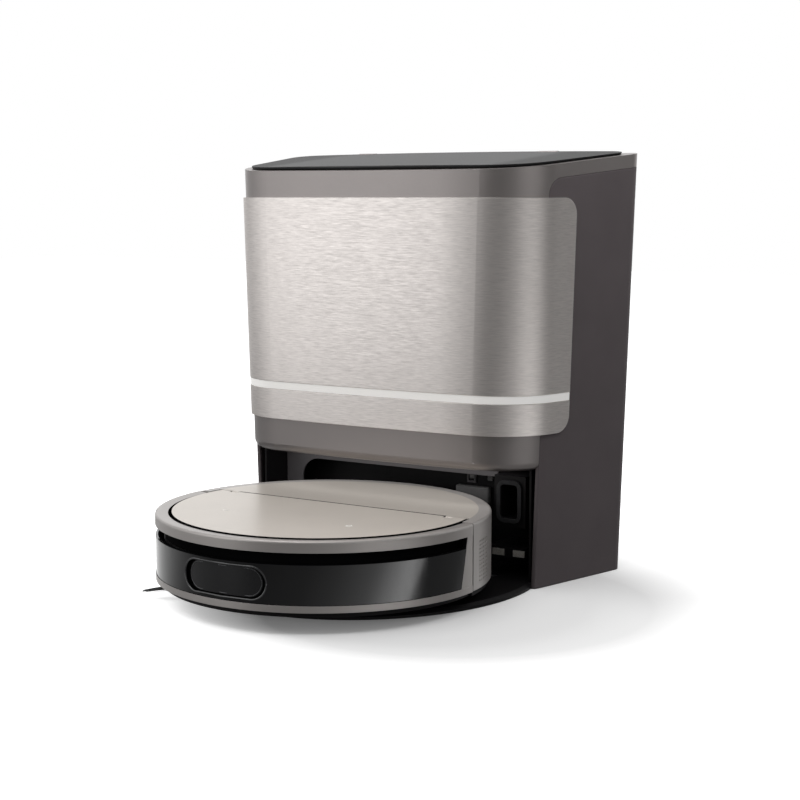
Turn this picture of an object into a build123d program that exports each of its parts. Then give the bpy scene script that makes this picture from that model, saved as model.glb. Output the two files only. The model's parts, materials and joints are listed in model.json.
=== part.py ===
from build123d import *
import math
import os

# Robot vacuum standing in its docking station, in millimetres.
# Origin: on the floor under the docked robot's centre. The robot's front faces -Y, the station stands at +Y.

# Clearances
seat = 0.3
running = 0.05
press = 0.02

# Station outside, measured at the top edge, with the walls leaning in towards the floor
station_height = 439.0
station_half_width = 198.0
station_front = 80.5
station_back = 278.0
station_corner = 67.0
station_rear_corner = 15.0
front_bow_radius = 2180.0
side_flare = 0.244
side_taper = 12.0
front_taper = 4.5
back_taper = 2.5
top_slope = 5.7
station_wall = 3.5
deck_thickness = 3.0

# Front fascia, its seams and the bay under it
fascia_bottom = 127.0
fascia_lip = 9.0
fascia_seam = 127.5
top_band = 14.0
seam_corner = 18.0
deck_margin = 24.0
bay_half_width = 172.0
bay_back = 205.0
bay_ceiling = 134.0
bay_wall = 2.5
bay_recess_depth = 1.2
bay_recess_corner = 14.0
bay_recess_x = (-150.0, -52.0)
bay_recess_z = (28.0, 116.0)

# Steel panel and the light bar across it
panel_proud = 3.0
panel_bottom = 165.0
panel_room = 28.5
panel_top = station_height - panel_room
panel_wrap = 166.5
panel_corner = 18.0
light_bottom = 198.6
light_height = 8.2
light_inset = 0.4

# Station lid and its hinge
lid_inset = 8.0
lid_thickness = 4.0
lid_crown = 1.4
lid_rear_corner = 20.0
lid_edge = 1.9
lid_knuckle_x = 120.0
lid_knuckle_width = 24.0
lid_notch_depth = 7.0
lid_pin_radius = 1.0
lid_pin_reach = 6.0

# Base tray
tray_thickness = 6.0
tray_half_width = 179.5
tray_front = -110.0
tray_widest = 90.0
tray_chamfer = 3.0
foot_radius = 12.0
foot_height = 1.5
foot_places = [(-120.0, -20.0), (120.0, -20.0), (-140.0, 140.0),
               (140.0, 140.0), (-140.0, 250.0), (140.0, 250.0)]
wash_x = 128.0
wash_y = (22.0, 148.0)
wash_depth = 3.0
wash_plate = 1.4
wash_rib_pitch = 9.0
wash_rib_width = 3.0

# Inside the station
shelf_z = 262.0
shelf_thickness = 3.0
tank_x = (7.0, 158.0)
tank_y = (106.0, 258.0)
tank_room = 18.0
tank_top = station_height - tank_room
tank_wall = 2.4
tank_corner = 24.0
cap_thickness = 5.0
cap_lip = 8.0
handle_width = 70.0
handle_height = 9.0
handle_depth = 14.0
handle_corner = 6.5
bag_x = (-30.0, 112.0)
bag_y = (96.0, 200.0)
bag_height = 100.0
bag_corner = 20.0
fan_x = -108.0
fan_y = 165.0
fan_radius = 52.0
fan_height = 62.0
fan_wall = 3.0
fan_shaft_radius = 4.0
fan_blades = 8
fan_inlet_share = 0.45
duct_x = (120.0, 154.0)
duct_depth = 30.0
duct_wall = 2.0
duct_top = 240.0
pump_places = [(-126.0, 240.0), (-166.0, 240.0)]
pump_radius = 17.0
pump_height = 58.0
board_x = (-100.0, 40.0)
board_z = (24.0, 118.0)
board_thickness = 1.6
board_standoff = 10.0
board_post_radius = 4.0
coil_x = (-60.0, -25.0)
coil_z = (54.0, 86.0)
coil_depth = 28.0
inlet_x = 90.0
inlet_z = 40.0
inlet_width = 30.0
inlet_height = 24.0
inlet_depth = 22.0
inlet_flange = 4.0

# Dust port and charging contacts in the bay
port_x = (118.0, 156.0)
port_z = (58.0, 114.0)
port_room = 23.0
seal_width = 30.0
seal_height = 46.0
seal_rim = 4.5
seal_corner = 9.0
seal_depth = 3.0
contact_x = (110.0, 156.0)
contact_z = (24.0, 36.0)
contact_thickness = 2.0
contact_height = 7.0
contact_length = 14.0

# Robot outside: bumper rim, window, lidar slot and crown, from the bottom up
robot_radius = 175.0
rim_bottom = 21.0
rim_height = 7.0
window_height = 39.0
slot_height = 11.5
crown_height = 11.5
crown_edge = 2.5
crown_width = 13.8
crown_flange = 4.0
crown_dish = 1.1
crown_dish_width = 8.5

# Bumper
bumper_wall = 4.5
bumper_travel = 2.5
bumper_margin = 1.0
bumper_end = 6.5
bumper_gap = 3.0
window_thickness = 2.4
window_set_back = 0.4
window_end_angle = 86.7
window_end_lean = 12.0
bumper_tab_angles = [-70.0, -25.0, 25.0, 70.0]
bumper_tab_width = 16.0
bumper_tab_reach = 22.0
bumper_tab_height = 3.0
bumper_tab_drop = 0.5
lens_width = 100.0
lens_height = 34.0
lens_side_bezel = 6.0
lens_edge_bezel = 2.5
lens_back = 0.1
lens_floor = 0.4
lens_rise = 0.8

# Robot shell, cover and keys
cover_gap = 3.3
cover_thickness = 3.0
split_y = 27.2
split_gap = 0.8
shell_wall = 3.0
shell_set_back = 1.0
cover_edge = 1.45
cover_knuckle_inset = 21.9
cover_knuckle_width = 10.0
cover_notch_depth = 5.0
cover_pin_radius = 0.75
cover_pin_reach = 5.0
key_x = 77.0
key_y = -68.0
key_radius = 4.0
key_fit = 0.08
key_flange = 1.2
key_flange_height = 1.0
shell_posts = [(-110.0, 60.0), (110.0, 60.0), (-60.0, 140.0), (60.0, 140.0)]
shell_post_radius = 5.0
grille_angles = (97.5, 106.5)
grille_z = (27.0, 71.0)
grille_thickness = 1.6
grille_hole_radius = 1.1
grille_columns = 5
grille_rows = 11

# Chassis and mid deck
chassis_clearance = 9.0
chassis_floor = 4.0
chassis_wall = 3.0
chassis_wall_inset = 1.0
deck_z = 62.0
mid_deck_thickness = 3.0
cover_post_inset = 16.0
cover_post_y = (-98.0, 4.0)
cover_post_radius = 4.0

# Wheels and suspension
wheel_radius = 33.0
wheel_width = 22.0
wheel_inset = 63.0
hub_radius = 22.0
hub_dish = 4.0
tread_count = 24
tread_depth = 1.6
tread_width = 3.0
axle_radius = 4.0
arm_length = 52.0
arm_width = 13.0
arm_gap = 3.0
arm_height = 19.0
arm_nose = 12.0
arm_tail = 8.0
bracket_width = 9.0
bracket_length = 16.0
wheel_well_margin = 4.0

# Caster
caster_inset = 47.0
caster_radius = 10.0
caster_width = 9.0
caster_trail = 5.0
caster_cheek = 2.5
caster_cheek_half = 4.0
caster_edge = 1.5
caster_room = 1.0
caster_axle_radius = 2.0
caster_disc_radius = 16.0
caster_disc_height = 4.0
caster_disc_z = 27.5
caster_stem_radius = 5.0
caster_stem_length = 8.0
caster_cup_wall = 2.5

# Main brush
brush_y = -40.0
brush_radius = 20.0
brush_core = 10.0
brush_half_length = 70.0
brush_fins = 6
brush_fin_width = 2.4
brush_shaft_radius = 3.0
brush_shaft_reach = 6.0
brush_end_gap = 2.0
brush_room = 2.0
brush_house_wall = 3.0
guard_thickness = 2.5
guard_margin = 6.0
guard_opening = 17.5

# Side brush
side_inset = 33.6
side_angle = 45.0
side_hub_radius = 14.0
side_hub_height = 5.5
side_hub_gap = 1.0
side_shaft_radius = 4.0
side_shaft_length = 16.0
side_boss_wall = 8.0
side_sweep = 55.0
tuft_count = 3
tuft_first_angle = 200.0
strand_columns = 12
strand_rows = 10
strand_size = 0.32
strand_spread = 26.0
tuft_width = 9.0
tuft_tip_height = 4.5
tuft_root_low = 0.86
tuft_root_span = 0.62
tuft_slice = 2.0

# Mops
mop_x = 66.0
mop_y = 84.0
mop_plate_radius = 56.0
mop_pad_radius = 60.0
mop_plate_thickness = 3.0
mop_pad_thickness = 4.2
mop_shaft_radius = 6.0
mop_shaft_length = 16.0
mop_hole_gap = 1.5
gearbox_x = 90.0
gearbox_half_depth = 18.0
gearbox_height = 15.0
gearbox_roof = 2.0

# Robot inside
dust_x = 68.0
dust_back = 18.0
dust_front_gap = 6.0
dust_top = 80.0
dust_wall = 2.0
dust_room = 1.0
dust_inlet_half = 40.0
dust_inlet_height = 9.0
filter_thickness = 6.0
suction_y = 42.0
suction_radius = 21.5
suction_height = 39.0
suction_wall = 1.6
suction_shaft_radius = 2.0
battery_x = 62.0
battery_y = (66.0, 134.0)
battery_height = 22.0
battery_corner = 6.0
main_board_x = 78.0
main_board_y = (52.0, 128.0)
main_board_standoff = 3.0
cliff_angles = [-75.0, -12.0, 12.0, 75.0]
cliff_inset = 11.0
cliff_length = 14.0
cliff_width = 7.0
cliff_height = 1.2
lidar_inset = 63.0
lidar_base_radius = 36.0
lidar_base_height = 4.0
lidar_head_radius = 30.0
lidar_head_height = 8.5
lidar_eye_half = 9.0
lidar_eye_depth = 5.0
lidar_eye_margin = 1.5
lidar_pin_radius = 5.0
lidar_pin_depth = 3.0

# Heights and radii that follow from the sizes above
far = 1000.0
station_peak = station_height + station_back * math.tan(math.radians(top_slope))
ground = tray_thickness + seat
rim_top = rim_bottom + rim_height
slot_bottom = rim_top + window_height
slot_top = slot_bottom + slot_height
robot_top = slot_top + crown_height
cover_bottom = robot_top - cover_thickness
bumper_inner = robot_radius - bumper_wall
chassis_radius = bumper_inner - bumper_travel - bumper_margin
chassis_bottom = tray_thickness + chassis_clearance
floor_top = chassis_bottom + chassis_floor
shell_front = bumper_end + bumper_gap
shell_inner = robot_radius - shell_set_back - shell_wall
deck_top = deck_z + mid_deck_thickness
crown_inner = robot_radius - crown_width
cover_radius = crown_inner - cover_gap
cover_knuckle_x = cover_radius - cover_knuckle_inset
port_face = robot_radius - port_room
wheel_x = robot_radius - wheel_inset
cover_post_x = wheel_x - cover_post_inset
caster_y = caster_inset - robot_radius
lidar_y = lidar_inset - robot_radius
dust_y = (lidar_y + lidar_base_radius + dust_front_gap, dust_back)
cliff_radius = chassis_radius - cliff_inset
side_x = (side_inset - robot_radius) * math.sin(math.radians(side_angle))
side_y = (side_inset - robot_radius) * math.cos(math.radians(side_angle))
wheel_z = ground + wheel_radius
brush_z = ground + brush_radius
inner_floor = bay_ceiling + bay_wall
pill_z = (rim_top + slot_bottom) / 2
wall_radius = chassis_radius - chassis_wall_inset


def block(x, y, z):
    size = (x[1] - x[0], y[1] - y[0], z[1] - z[0])
    middle = Pos((x[0] + x[1]) / 2, (y[0] + y[1]) / 2, (z[0] + z[1]) / 2)
    return middle * Box(*size)


def post(x, y, radius, z):
    return Pos(x, y, (z[0] + z[1]) / 2) * Cylinder(radius, z[1] - z[0])


def rod(y, z, radius, x):
    return Pos((x[0] + x[1]) / 2, y, z) * Rot(0, 90, 0) * Cylinder(radius, x[1] - x[0])


def ring(inner, outer, z):
    return post(0, 0, outer, z) - post(0, 0, inner, (z[0] - 1, z[1] + 1))


def soft_block(x, y, z, corner):
    size = Rectangle(x[1] - x[0], y[1] - y[0])
    face = Pos((x[0] + x[1]) / 2, (y[0] + y[1]) / 2, z[0]) * fillet(size.vertices(), corner)
    return extrude(face, z[1] - z[0])


def at_angle(angle):
    # Turns +X of a piece to point out of the robot at an angle counted from its front, towards +X
    return Rot(0, 0, angle - 90)


def ahead_of(y):
    return block((-far, far), (-far, y), (-far, far))


def behind(y):
    return block((-far, far), (y, far), (-far, far))


def top_place(height):
    return Pos(0, station_front, station_height) * Rot(top_slope, 0, 0) * Pos(0, 0, height)


def above_top(height):
    return top_place(height) * Pos(0, 0, far / 2) * Box(2 * far, 2 * far, far)


def housing_zone(gap):
    # All that lies behind the fascia's seam and under its top band, with the corner between the two rounded
    front = fascia_seam + gap
    rise = math.tan(math.radians(top_slope))
    drop = (top_band + gap) / math.cos(math.radians(top_slope))
    level = station_height - station_front * rise - drop
    bend = (front, level + front * rise)
    face = make_face(Polyline(bend, (far, level + far * rise), (far, -far), (front, -far), bend))
    corner = min(face.vertices(), key=lambda v: math.dist((v.X, v.Y), bend))
    return extrude(Plane.YZ * fillet(corner, seam_corner - gap), far, both=True)


def station_plan(z, inset=0.0, rear=station_rear_corner):
    lean = 1 - z / station_height
    half = station_half_width - side_taper * lean - inset
    front = station_front + front_taper * lean + inset
    back = station_back - back_taper * lean - inset
    corner = station_corner - inset
    bow = front_bow_radius - inset
    corner_x = half - corner
    drop = math.sqrt((bow - corner) ** 2 - corner_x ** 2)
    corner_y = front + bow - drop
    start = math.atan2(corner_x, drop)
    end = math.pi / 2 - math.atan(side_flare)
    on_bow = (bow * math.sin(start), front + bow - bow * math.cos(start))
    mid = (start + end) / 2
    on_corner = (corner_x + corner * math.sin(mid), corner_y - corner * math.cos(mid))
    on_side = (corner_x + corner * math.sin(end), corner_y - corner * math.cos(end))
    slant = math.sqrt(1 + side_flare ** 2)
    rear_y = back - rear
    rear_x = on_side[0] + side_flare * (rear_y - on_side[1]) - rear * slant
    rear_start = (rear_x + rear / slant, rear_y - rear * side_flare / slant)
    rear_mid = math.pi / 4 - math.atan(side_flare) / 2
    on_rear = (rear_x + rear * math.cos(rear_mid), rear_y + rear * math.sin(rear_mid))
    edge = [
        ThreePointArc((-on_bow[0], on_bow[1]), (0, front), on_bow),
        ThreePointArc(on_bow, on_corner, on_side),
        Line(on_side, rear_start),
        ThreePointArc(rear_start, on_rear, (rear_x, back)),
        Line((rear_x, back), (-rear_x, back)),
        ThreePointArc((-rear_x, back), (-on_rear[0], on_rear[1]), (-rear_start[0], rear_start[1])),
        Line((-rear_start[0], rear_start[1]), (-on_side[0], on_side[1])),
        ThreePointArc((-on_side[0], on_side[1]), (-on_corner[0], on_corner[1]), (-on_bow[0], on_bow[1])),
    ]
    return Pos(0, 0, z) * make_face(edge)


def station_block(z, inset=0.0):
    return loft([station_plan(z[0], inset), station_plan(z[1], inset)], ruled=True)


def save(name, shape):
    solids = shape.solids()
    kept = solids[0] if len(solids) == 1 else Compound(children=list(solids))
    export_step(kept, f"parts/{name}.step")


# Station

def lid_axis():
    back = station_back - lid_inset - station_front
    return back - lid_thickness / 2, seat + lid_thickness / 2


def lid_pieces(radius, x):
    y, z = lid_axis()
    return [top_place(0) * rod(y, z, radius, (side - x, side + x))
            for side in (-lid_knuckle_x, lid_knuckle_x)]


def front_fascia():
    outer = station_block((fascia_bottom, station_peak))
    lip = [e for e in outer.edges() if abs(e.center().Z - fascia_bottom) < 0.01]
    outer = fillet(lip, fascia_lip)
    inner = station_block((fascia_bottom + station_wall, station_peak), station_wall)
    inner -= above_top(-deck_thickness)
    mouth = station_block((panel_top, station_peak), deck_margin) & above_top(-2 * deck_thickness)
    shape = outer - above_top(0) - inner - mouth - housing_zone(0)
    y, z = lid_axis()
    for side in (-lid_knuckle_x, lid_knuckle_x):
        half = lid_knuckle_width / 2
        foot = block((side - half, side + half), (y - lid_thickness / 2, y + lid_thickness / 2), (-1, z))
        shape += top_place(0) * foot
        shape += top_place(0) * rod(y, z, lid_thickness / 2, (side - half, side + half))
    for pin in lid_pieces(lid_pin_radius + press, lid_knuckle_width):
        shape -= pin
    return shape


def rear_housing():
    shape = station_block((0, station_peak)) & housing_zone(seat)
    shape -= station_block((-1, station_peak), station_wall)
    hole_x = (inlet_x - inlet_width / 2, inlet_x + inlet_width / 2)
    hole_z = (inlet_z - inlet_height / 2, inlet_z + inlet_height / 2)
    return shape - block(hole_x, (station_back - 3 * station_wall, far), hole_z)


def panel_skin(z, outer, inner):
    skin = station_block(z, -outer) - station_block((z[0] - 1, z[1] + 1), -inner)
    skin -= behind(panel_wrap)
    return skin


def panel_corner_cuts():
    # Rounds the four corners of the panel where it ends on the station's sides
    cuts = []
    for low, z in ((True, panel_bottom), (False, panel_top)):
        middle = z + panel_corner if low else z - panel_corner
        span = (z - 1, middle) if low else (middle, z + 1)
        corner = block((-far, far), (panel_wrap - panel_corner, panel_wrap + 1), span)
        round_end = rod(panel_wrap - panel_corner, middle, panel_corner, (-far, far))
        cuts.append(corner - round_end)
    return cuts


def steel_panel():
    light_top = light_bottom + light_height
    upper = panel_skin((light_top + seat, panel_top), panel_proud, seat)
    lower = panel_skin((panel_bottom, light_bottom - seat), panel_proud, seat)
    low_cut, high_cut = panel_corner_cuts()
    return Compound(children=[(upper - high_cut).solid(), (lower - low_cut).solid()])


def light_bar():
    return panel_skin((light_bottom, light_bottom + light_height), panel_proud - light_inset, seat)


def top_lid():
    plan = station_plan(station_height, lid_inset, lid_rear_corner)
    plate = extrude(Pos(0, -station_front, seat - station_height) * plan, lid_thickness)
    rear = plate.edges().group_by(Axis.Y)[-1].filter_by(Axis.X)
    plate = fillet(rear, lid_edge)
    radius = (station_half_width - lid_inset) ** 2 / (2 * lid_crown)
    plate = plate & (Pos(0, 0, seat + lid_thickness - radius) * Rot(90, 0, 0) * Cylinder(radius, 2 * far))
    y, z = lid_axis()
    for side in (-lid_knuckle_x, lid_knuckle_x):
        half = lid_knuckle_width / 2 + seat
        plate -= block((side - half, side + half), (y - lid_notch_depth, far), (-far, far))
        reach = half + lid_pin_reach
        plate -= rod(y, z, lid_pin_radius + running, (side - reach, side + reach))
    return top_place(0) * plate


def lid_hinge_pins():
    pins = lid_pieces(lid_pin_radius, lid_knuckle_width / 2 + lid_pin_reach)
    return Compound(children=[p.solid() for p in pins])


def tray_outline(z):
    front = Pos(0, tray_widest) * Ellipse(tray_half_width, tray_widest - tray_front)
    return extrude(Pos(0, 0, z[0]) * front, z[1] - z[0]) & ahead_of(fascia_seam)


def base_tray():
    inside = station_block((0, tray_thickness), station_wall + seat)
    front = tray_outline((0, tray_thickness))
    rim = [e for e in front.edges() if e.center().Z > tray_thickness - 0.01 and e.geom_type != GeomType.LINE]
    shape = chamfer(rim, tray_chamfer) + inside
    shape -= block((-wash_x, wash_x), wash_y, (tray_thickness - wash_depth, far))
    for x, y in foot_places:
        shape -= post(x, y, foot_radius + seat, (-1, foot_height))
    return shape


def wash_board():
    low = tray_thickness - wash_depth
    x = wash_x - seat
    y = (wash_y[0] + seat, wash_y[1] - seat)
    shape = block((-x, x), y, (low, low + wash_plate))
    count = int((y[1] - y[0]) / wash_rib_pitch)
    for i in range(count):
        start = y[0] + (i + 0.5) * wash_rib_pitch
        shape += block((-x, x), (start, start + wash_rib_width), (low, tray_thickness))
    return shape


def rubber_feet():
    return Compound(children=[post(x, y, foot_radius, (0, foot_height)).solid() for x, y in foot_places])


def bay_liner():
    x = bay_half_width
    outer = block((-x - bay_wall, x + bay_wall), (fascia_seam + bay_wall, bay_back + bay_wall),
                  (tray_thickness, inner_floor))
    shape = outer - block((-x, x), (-far, bay_back), (-far, bay_ceiling))
    recess = soft_block(bay_recess_x, bay_recess_z, (0, bay_recess_depth), bay_recess_corner)
    shape -= Pos(0, bay_back + bay_recess_depth, 0) * Rot(90, 0, 0) * recess
    return shape


def tank_shelf():
    return station_block((shelf_z, shelf_z + shelf_thickness), station_wall + seat)


def tank(side):
    x = tank_x if side > 0 else (-tank_x[1], -tank_x[0])
    bottom = shelf_z + shelf_thickness
    outer = soft_block(x, tank_y, (bottom, tank_top), tank_corner)
    inside_x = (x[0] + tank_wall, x[1] - tank_wall)
    inside_y = (tank_y[0] + tank_wall, tank_y[1] - tank_wall)
    return outer - soft_block(inside_x, inside_y, (bottom + tank_wall, tank_top + 1), tank_corner - tank_wall)


def tank_cap(side):
    x = tank_x if side > 0 else (-tank_x[1], -tank_x[0])
    top = tank_top + cap_thickness
    cap = soft_block(x, tank_y, (tank_top, top), tank_corner)
    gap = tank_wall + seat
    plug = soft_block((x[0] + gap, x[1] - gap), (tank_y[0] + gap, tank_y[1] - gap),
                      (tank_top - cap_lip, tank_top), tank_corner - gap)
    mid_x = (x[0] + x[1]) / 2
    mid_y = (tank_y[0] + tank_y[1]) / 2
    span_x = (mid_x - handle_width / 2, mid_x + handle_width / 2)
    span_y = (mid_y - handle_depth / 2, mid_y + handle_depth / 2)
    handle = soft_block(span_x, span_y, (top, top + handle_height), handle_corner)
    return (cap + plug + handle).solid()


def dust_bag():
    shape = soft_block(bag_x, bag_y, (inner_floor, inner_floor + bag_height), bag_corner)
    return fillet(shape.faces().sort_by(Axis.Z)[-1].edges(), bag_corner / 2)


def air_duct():
    z = (port_z[0] + seal_rim, duct_top)
    y = (bay_back + bay_wall, bay_back + bay_wall + duct_depth)
    outer = block(duct_x, y, z)
    hollow = block((duct_x[0] + duct_wall, duct_x[1] - duct_wall), (y[0] + duct_wall, y[1] - duct_wall),
                   (z[0] + duct_wall, z[1] + 1))
    return outer - hollow


def fan_room(x, y, radius, height, base, wall, shaft):
    # A round fan housing with its shaft, open at the top for the incoming air
    z = (base, base + height)
    inlet = radius * fan_inlet_share
    shell = post(x, y, radius, z) - post(x, y, radius - wall, (z[0] + 2 * wall, z[1] - wall))
    shell -= post(x, y, inlet, (z[1] - 2 * wall, z[1] + 1))
    return shell + post(x, y, shaft, (z[0] + wall, z[1] - 4 * wall))


def fan_wheel(x, y, radius, height, base, wall, shaft):
    low = base + 4 * wall
    high = base + height - 3 * wall
    outer = radius - 2 * wall
    disc = post(x, y, outer, (low, low + wall)) + post(x, y, 2 * shaft, (low, high - 2 * wall))
    for i in range(fan_blades):
        blade = block((1.5 * shaft, outer - wall / 2), (-wall / 4, wall / 4), (low, high))
        disc += Pos(x, y, 0) * Rot(0, 0, 360 / fan_blades * i) * Pos(0, shaft, 0) * blade
    return disc - post(x, y, shaft + running, (low - 1, high + 1))


def water_pumps():
    z = (tray_thickness, tray_thickness + pump_height)
    return Compound(children=[post(x, y, pump_radius, z).solid() for x, y in pump_places])


def power_board():
    face = bay_back + bay_wall + board_standoff
    shape = block(board_x, (face, face + board_thickness), board_z)
    inset = 3 * board_post_radius
    for x in (board_x[0] + inset, board_x[1] - inset):
        for z in (board_z[0] + inset, board_z[1] - inset):
            leg = Rot(90, 0, 0) * Cylinder(board_post_radius, board_standoff)
            shape += Pos(x, face - board_standoff / 2, z) * leg
    return shape + block(coil_x, (face, face + coil_depth), coil_z)


def mains_inlet():
    half = inlet_width / 2
    tall = inlet_height / 2
    lean = 1 - (inlet_z - tall - inlet_flange) / station_height
    face = station_back - back_taper * lean - station_wall - press
    body = block((inlet_x - half + seat, inlet_x + half - seat), (face - inlet_depth, face + station_wall),
                 (inlet_z - tall + seat, inlet_z + tall - seat))
    wide = half + inlet_flange
    high = tall + inlet_flange
    flange = block((inlet_x - wide, inlet_x + wide), (face - inlet_flange, face),
                   (inlet_z - high, inlet_z + high))
    narrow = half - inlet_flange
    low = tall - inlet_flange
    inside = block((inlet_x - narrow, inlet_x + narrow), (face - inlet_depth / 2, far),
                   (inlet_z - low, inlet_z + low))
    return body + flange - inside


def port_block():
    body = block(port_x, (port_face, bay_back), port_z)
    arm = block(contact_x, (port_face, bay_back), contact_z)
    back = block((contact_x[0], port_x[1]), (bay_back - 2 * bay_wall, bay_back), (contact_z[0], port_z[1]))
    seal_x = (port_x[0] + port_x[1]) / 2
    seal_z = (port_z[0] + port_z[1]) / 2
    half = seal_width / 2 - seal_rim
    tall = seal_height / 2 - seal_rim
    bore = block((seal_x - half, seal_x + half), (-far, bay_back - 2 * bay_wall),
                 (seal_z - tall, seal_z + tall))
    return body + arm + back - bore


def evac_seal():
    outer = fillet(Rectangle(seal_width, seal_height).vertices(), seal_corner)
    inner = Rectangle(seal_width - 2 * seal_rim, seal_height - 2 * seal_rim)
    inner = fillet(inner.vertices(), seal_corner - seal_rim)
    seal_x = (port_x[0] + port_x[1]) / 2
    seal_z = (port_z[0] + port_z[1]) / 2
    return Pos(seal_x, port_face, seal_z) * Rot(90, 0, 0) * extrude(outer - inner, seal_depth)


def charge_contacts():
    plates = []
    mid_z = (contact_z[0] + contact_z[1]) / 2
    for x in (contact_x[0] + contact_length, contact_x[1] - contact_length / 2):
        half = contact_length / 2
        tall = contact_height / 2
        plate = block((x - half, x + half), (port_face - contact_thickness, port_face),
                      (mid_z - tall, mid_z + tall))
        plates.append(plate.solid())
    return Compound(children=plates)


# Robot shell

def cover_axis():
    return split_y - cover_thickness / 2, robot_top - cover_thickness / 2


def cover_rods(radius, reach):
    y, z = cover_axis()
    return [rod(y, z, radius, (side - reach, side + reach)) for side in (-cover_knuckle_x, cover_knuckle_x)]


def top_circles(shape, radius):
    # The round edges of a given radius on the robot's top face
    found = []
    for edge in shape.edges().filter_by(GeomType.CIRCLE):
        if abs(edge.center().Z - robot_top) < press and abs(edge.radius - radius) < press:
            found.append(edge)
    return found


def rear_shell():
    wall = ring(shell_inner, shell_inner + shell_wall, (rim_bottom, robot_top))
    crown = ring(crown_inner, shell_inner + shell_wall, (robot_top - crown_flange, robot_top))
    shape = (wall + crown) & behind(shell_front)
    deck = post(0, 0, shell_inner + shell_wall / 2, (cover_bottom, robot_top)) & behind(split_y + split_gap)
    shape += deck
    shape = fillet(top_circles(shape, shell_inner + shell_wall), crown_edge)
    for x, y in shell_posts:
        shape += post(x, y, shell_post_radius, (deck_top, robot_top - cover_thickness / 2))
    y, z = cover_axis()
    half = cover_knuckle_width / 2
    for side in (-cover_knuckle_x, cover_knuckle_x):
        shape += rod(y, z, cover_thickness / 2, (side - half, side + half))
        shape += block((side - half, side + half), (y, split_y + 2 * split_gap), (cover_bottom, robot_top))
    for pin in cover_rods(cover_pin_radius + press, cover_knuckle_width):
        shape -= pin
    for side in (1, -1):
        shape -= grille_sector(side, grille_z, shell_inner - 1, robot_radius)
    return shape


def grille_sector(side, z, inner, outer):
    low, high = grille_angles
    span = math.radians((high - low) / 2)
    middle = at_angle(side * (low + high) / 2)
    reach = outer * math.tan(span)
    wedge = make_face(Polyline((0, 0), (outer, reach), (outer, -reach), (0, 0)))
    return (middle * extrude(Pos(0, 0, z[0]) * wedge, z[1] - z[0])) & ring(inner, outer, z)


def exhaust_grille():
    low, high = grille_angles
    outer = shell_inner + shell_wall
    plates = []
    for side in (1, -1):
        plate = grille_sector(side, grille_z, outer - grille_thickness, outer)
        holes = []
        for column in range(grille_columns):
            angle = low + (high - low) * (column + 0.5) / grille_columns
            for row in range(grille_rows):
                height = grille_z[0] + (grille_z[1] - grille_z[0]) * (row + 0.5) / grille_rows
                drill = Rot(0, 90, 0) * Cylinder(grille_hole_radius, 4 * grille_thickness)
                holes.append(at_angle(side * angle) * Pos(outer, 0, height) * drill)
        plates.append((plate - holes).solid())
    return Compound(children=plates)


def front_cover():
    plate = post(0, 0, cover_radius, (cover_bottom, robot_top)) & ahead_of(split_y)
    rear = plate.edges().filter_by(Axis.X)
    plate = fillet(rear, cover_edge)
    y, z = cover_axis()
    half = cover_knuckle_width / 2 + seat
    for side in (-cover_knuckle_x, cover_knuckle_x):
        plate -= block((side - half, side + half), (y - cover_notch_depth, far), (-far, far))
    for pin in cover_rods(cover_pin_radius + running, half + cover_pin_reach):
        plate -= pin
    for side in (-key_x, key_x):
        plate -= post(side, key_y, key_radius + key_fit, (-far, far))
    return plate


def cover_hinge_pins():
    reach = cover_knuckle_width / 2 + cover_pin_reach
    return Compound(children=[p.solid() for p in cover_rods(cover_pin_radius, reach)])


def key(side):
    low = cover_bottom - key_flange_height
    cap = post(side * key_x, key_y, key_radius, (low, robot_top))
    return cap + post(side * key_x, key_y, key_radius + key_flange, (low, cover_bottom))


# Bumper

def window_end(side):
    # Solid beyond the slanted end of the bumper window
    half = behind(0) if side > 0 else ahead_of(0)
    return at_angle(side * window_end_angle) * Pos(0, 0, pill_z) * Rot(-side * window_end_lean, 0, 0) * half


def bumper_frame():
    crown = ring(crown_inner, robot_radius, (robot_top - crown_flange, robot_top))
    crown += ring(robot_radius - crown_flange, robot_radius, (slot_top, robot_top))
    crown = fillet(top_circles(crown, robot_radius), crown_edge)
    dish = Cone(crown_inner, crown_inner + crown_dish_width, crown_dish)
    crown -= Pos(0, 0, robot_top - crown_dish / 2) * dish
    rim = ring(bumper_inner, robot_radius, (rim_bottom, rim_top))
    face = robot_radius - window_set_back
    backing = ring(bumper_inner, face - window_thickness - seat, (rim_top, slot_bottom))
    backing -= pill(lens_width, lens_height)
    posts = ring(bumper_inner, face, (rim_top, slot_top))
    ends = (posts & window_end(1)) + (posts & window_end(-1))
    shape = (crown + rim + backing + ends) & ahead_of(bumper_end)
    low = rim_bottom + bumper_tab_drop
    for angle in bumper_tab_angles:
        half = bumper_tab_width / 2
        tab = block((bumper_inner - bumper_tab_reach, bumper_inner + 1), (-half, half),
                    (low, low + bumper_tab_height))
        shape += at_angle(angle) * tab
    return shape


def pill(width, height, grow=0.0):
    straight = width - height
    return Pos(0, 0, pill_z) * Rot(90, 0, 0) * extrude(SlotCenterToCenter(straight, height + 2 * grow), far)


def bumper_window():
    outer = robot_radius - window_set_back
    shape = ring(outer - window_thickness, outer, (rim_top + seat, slot_bottom))
    shape -= window_end(1)
    shape -= window_end(-1)
    shape = shape & ahead_of(bumper_end)
    return shape - pill(lens_width, lens_height)


def sensor_lens():
    # Set deep in the bumper, with a raised face inside a groove
    inner = bumper_inner + lens_back
    floor = ring(inner, inner + lens_floor, (rim_top, slot_bottom)) & pill(lens_width, lens_height, -seat)
    face = pill(lens_width - 2 * lens_side_bezel, lens_height - 2 * lens_edge_bezel)
    return floor + (ring(inner, inner + lens_rise, (rim_top, slot_bottom)) & face)


# Robot running gear

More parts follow.
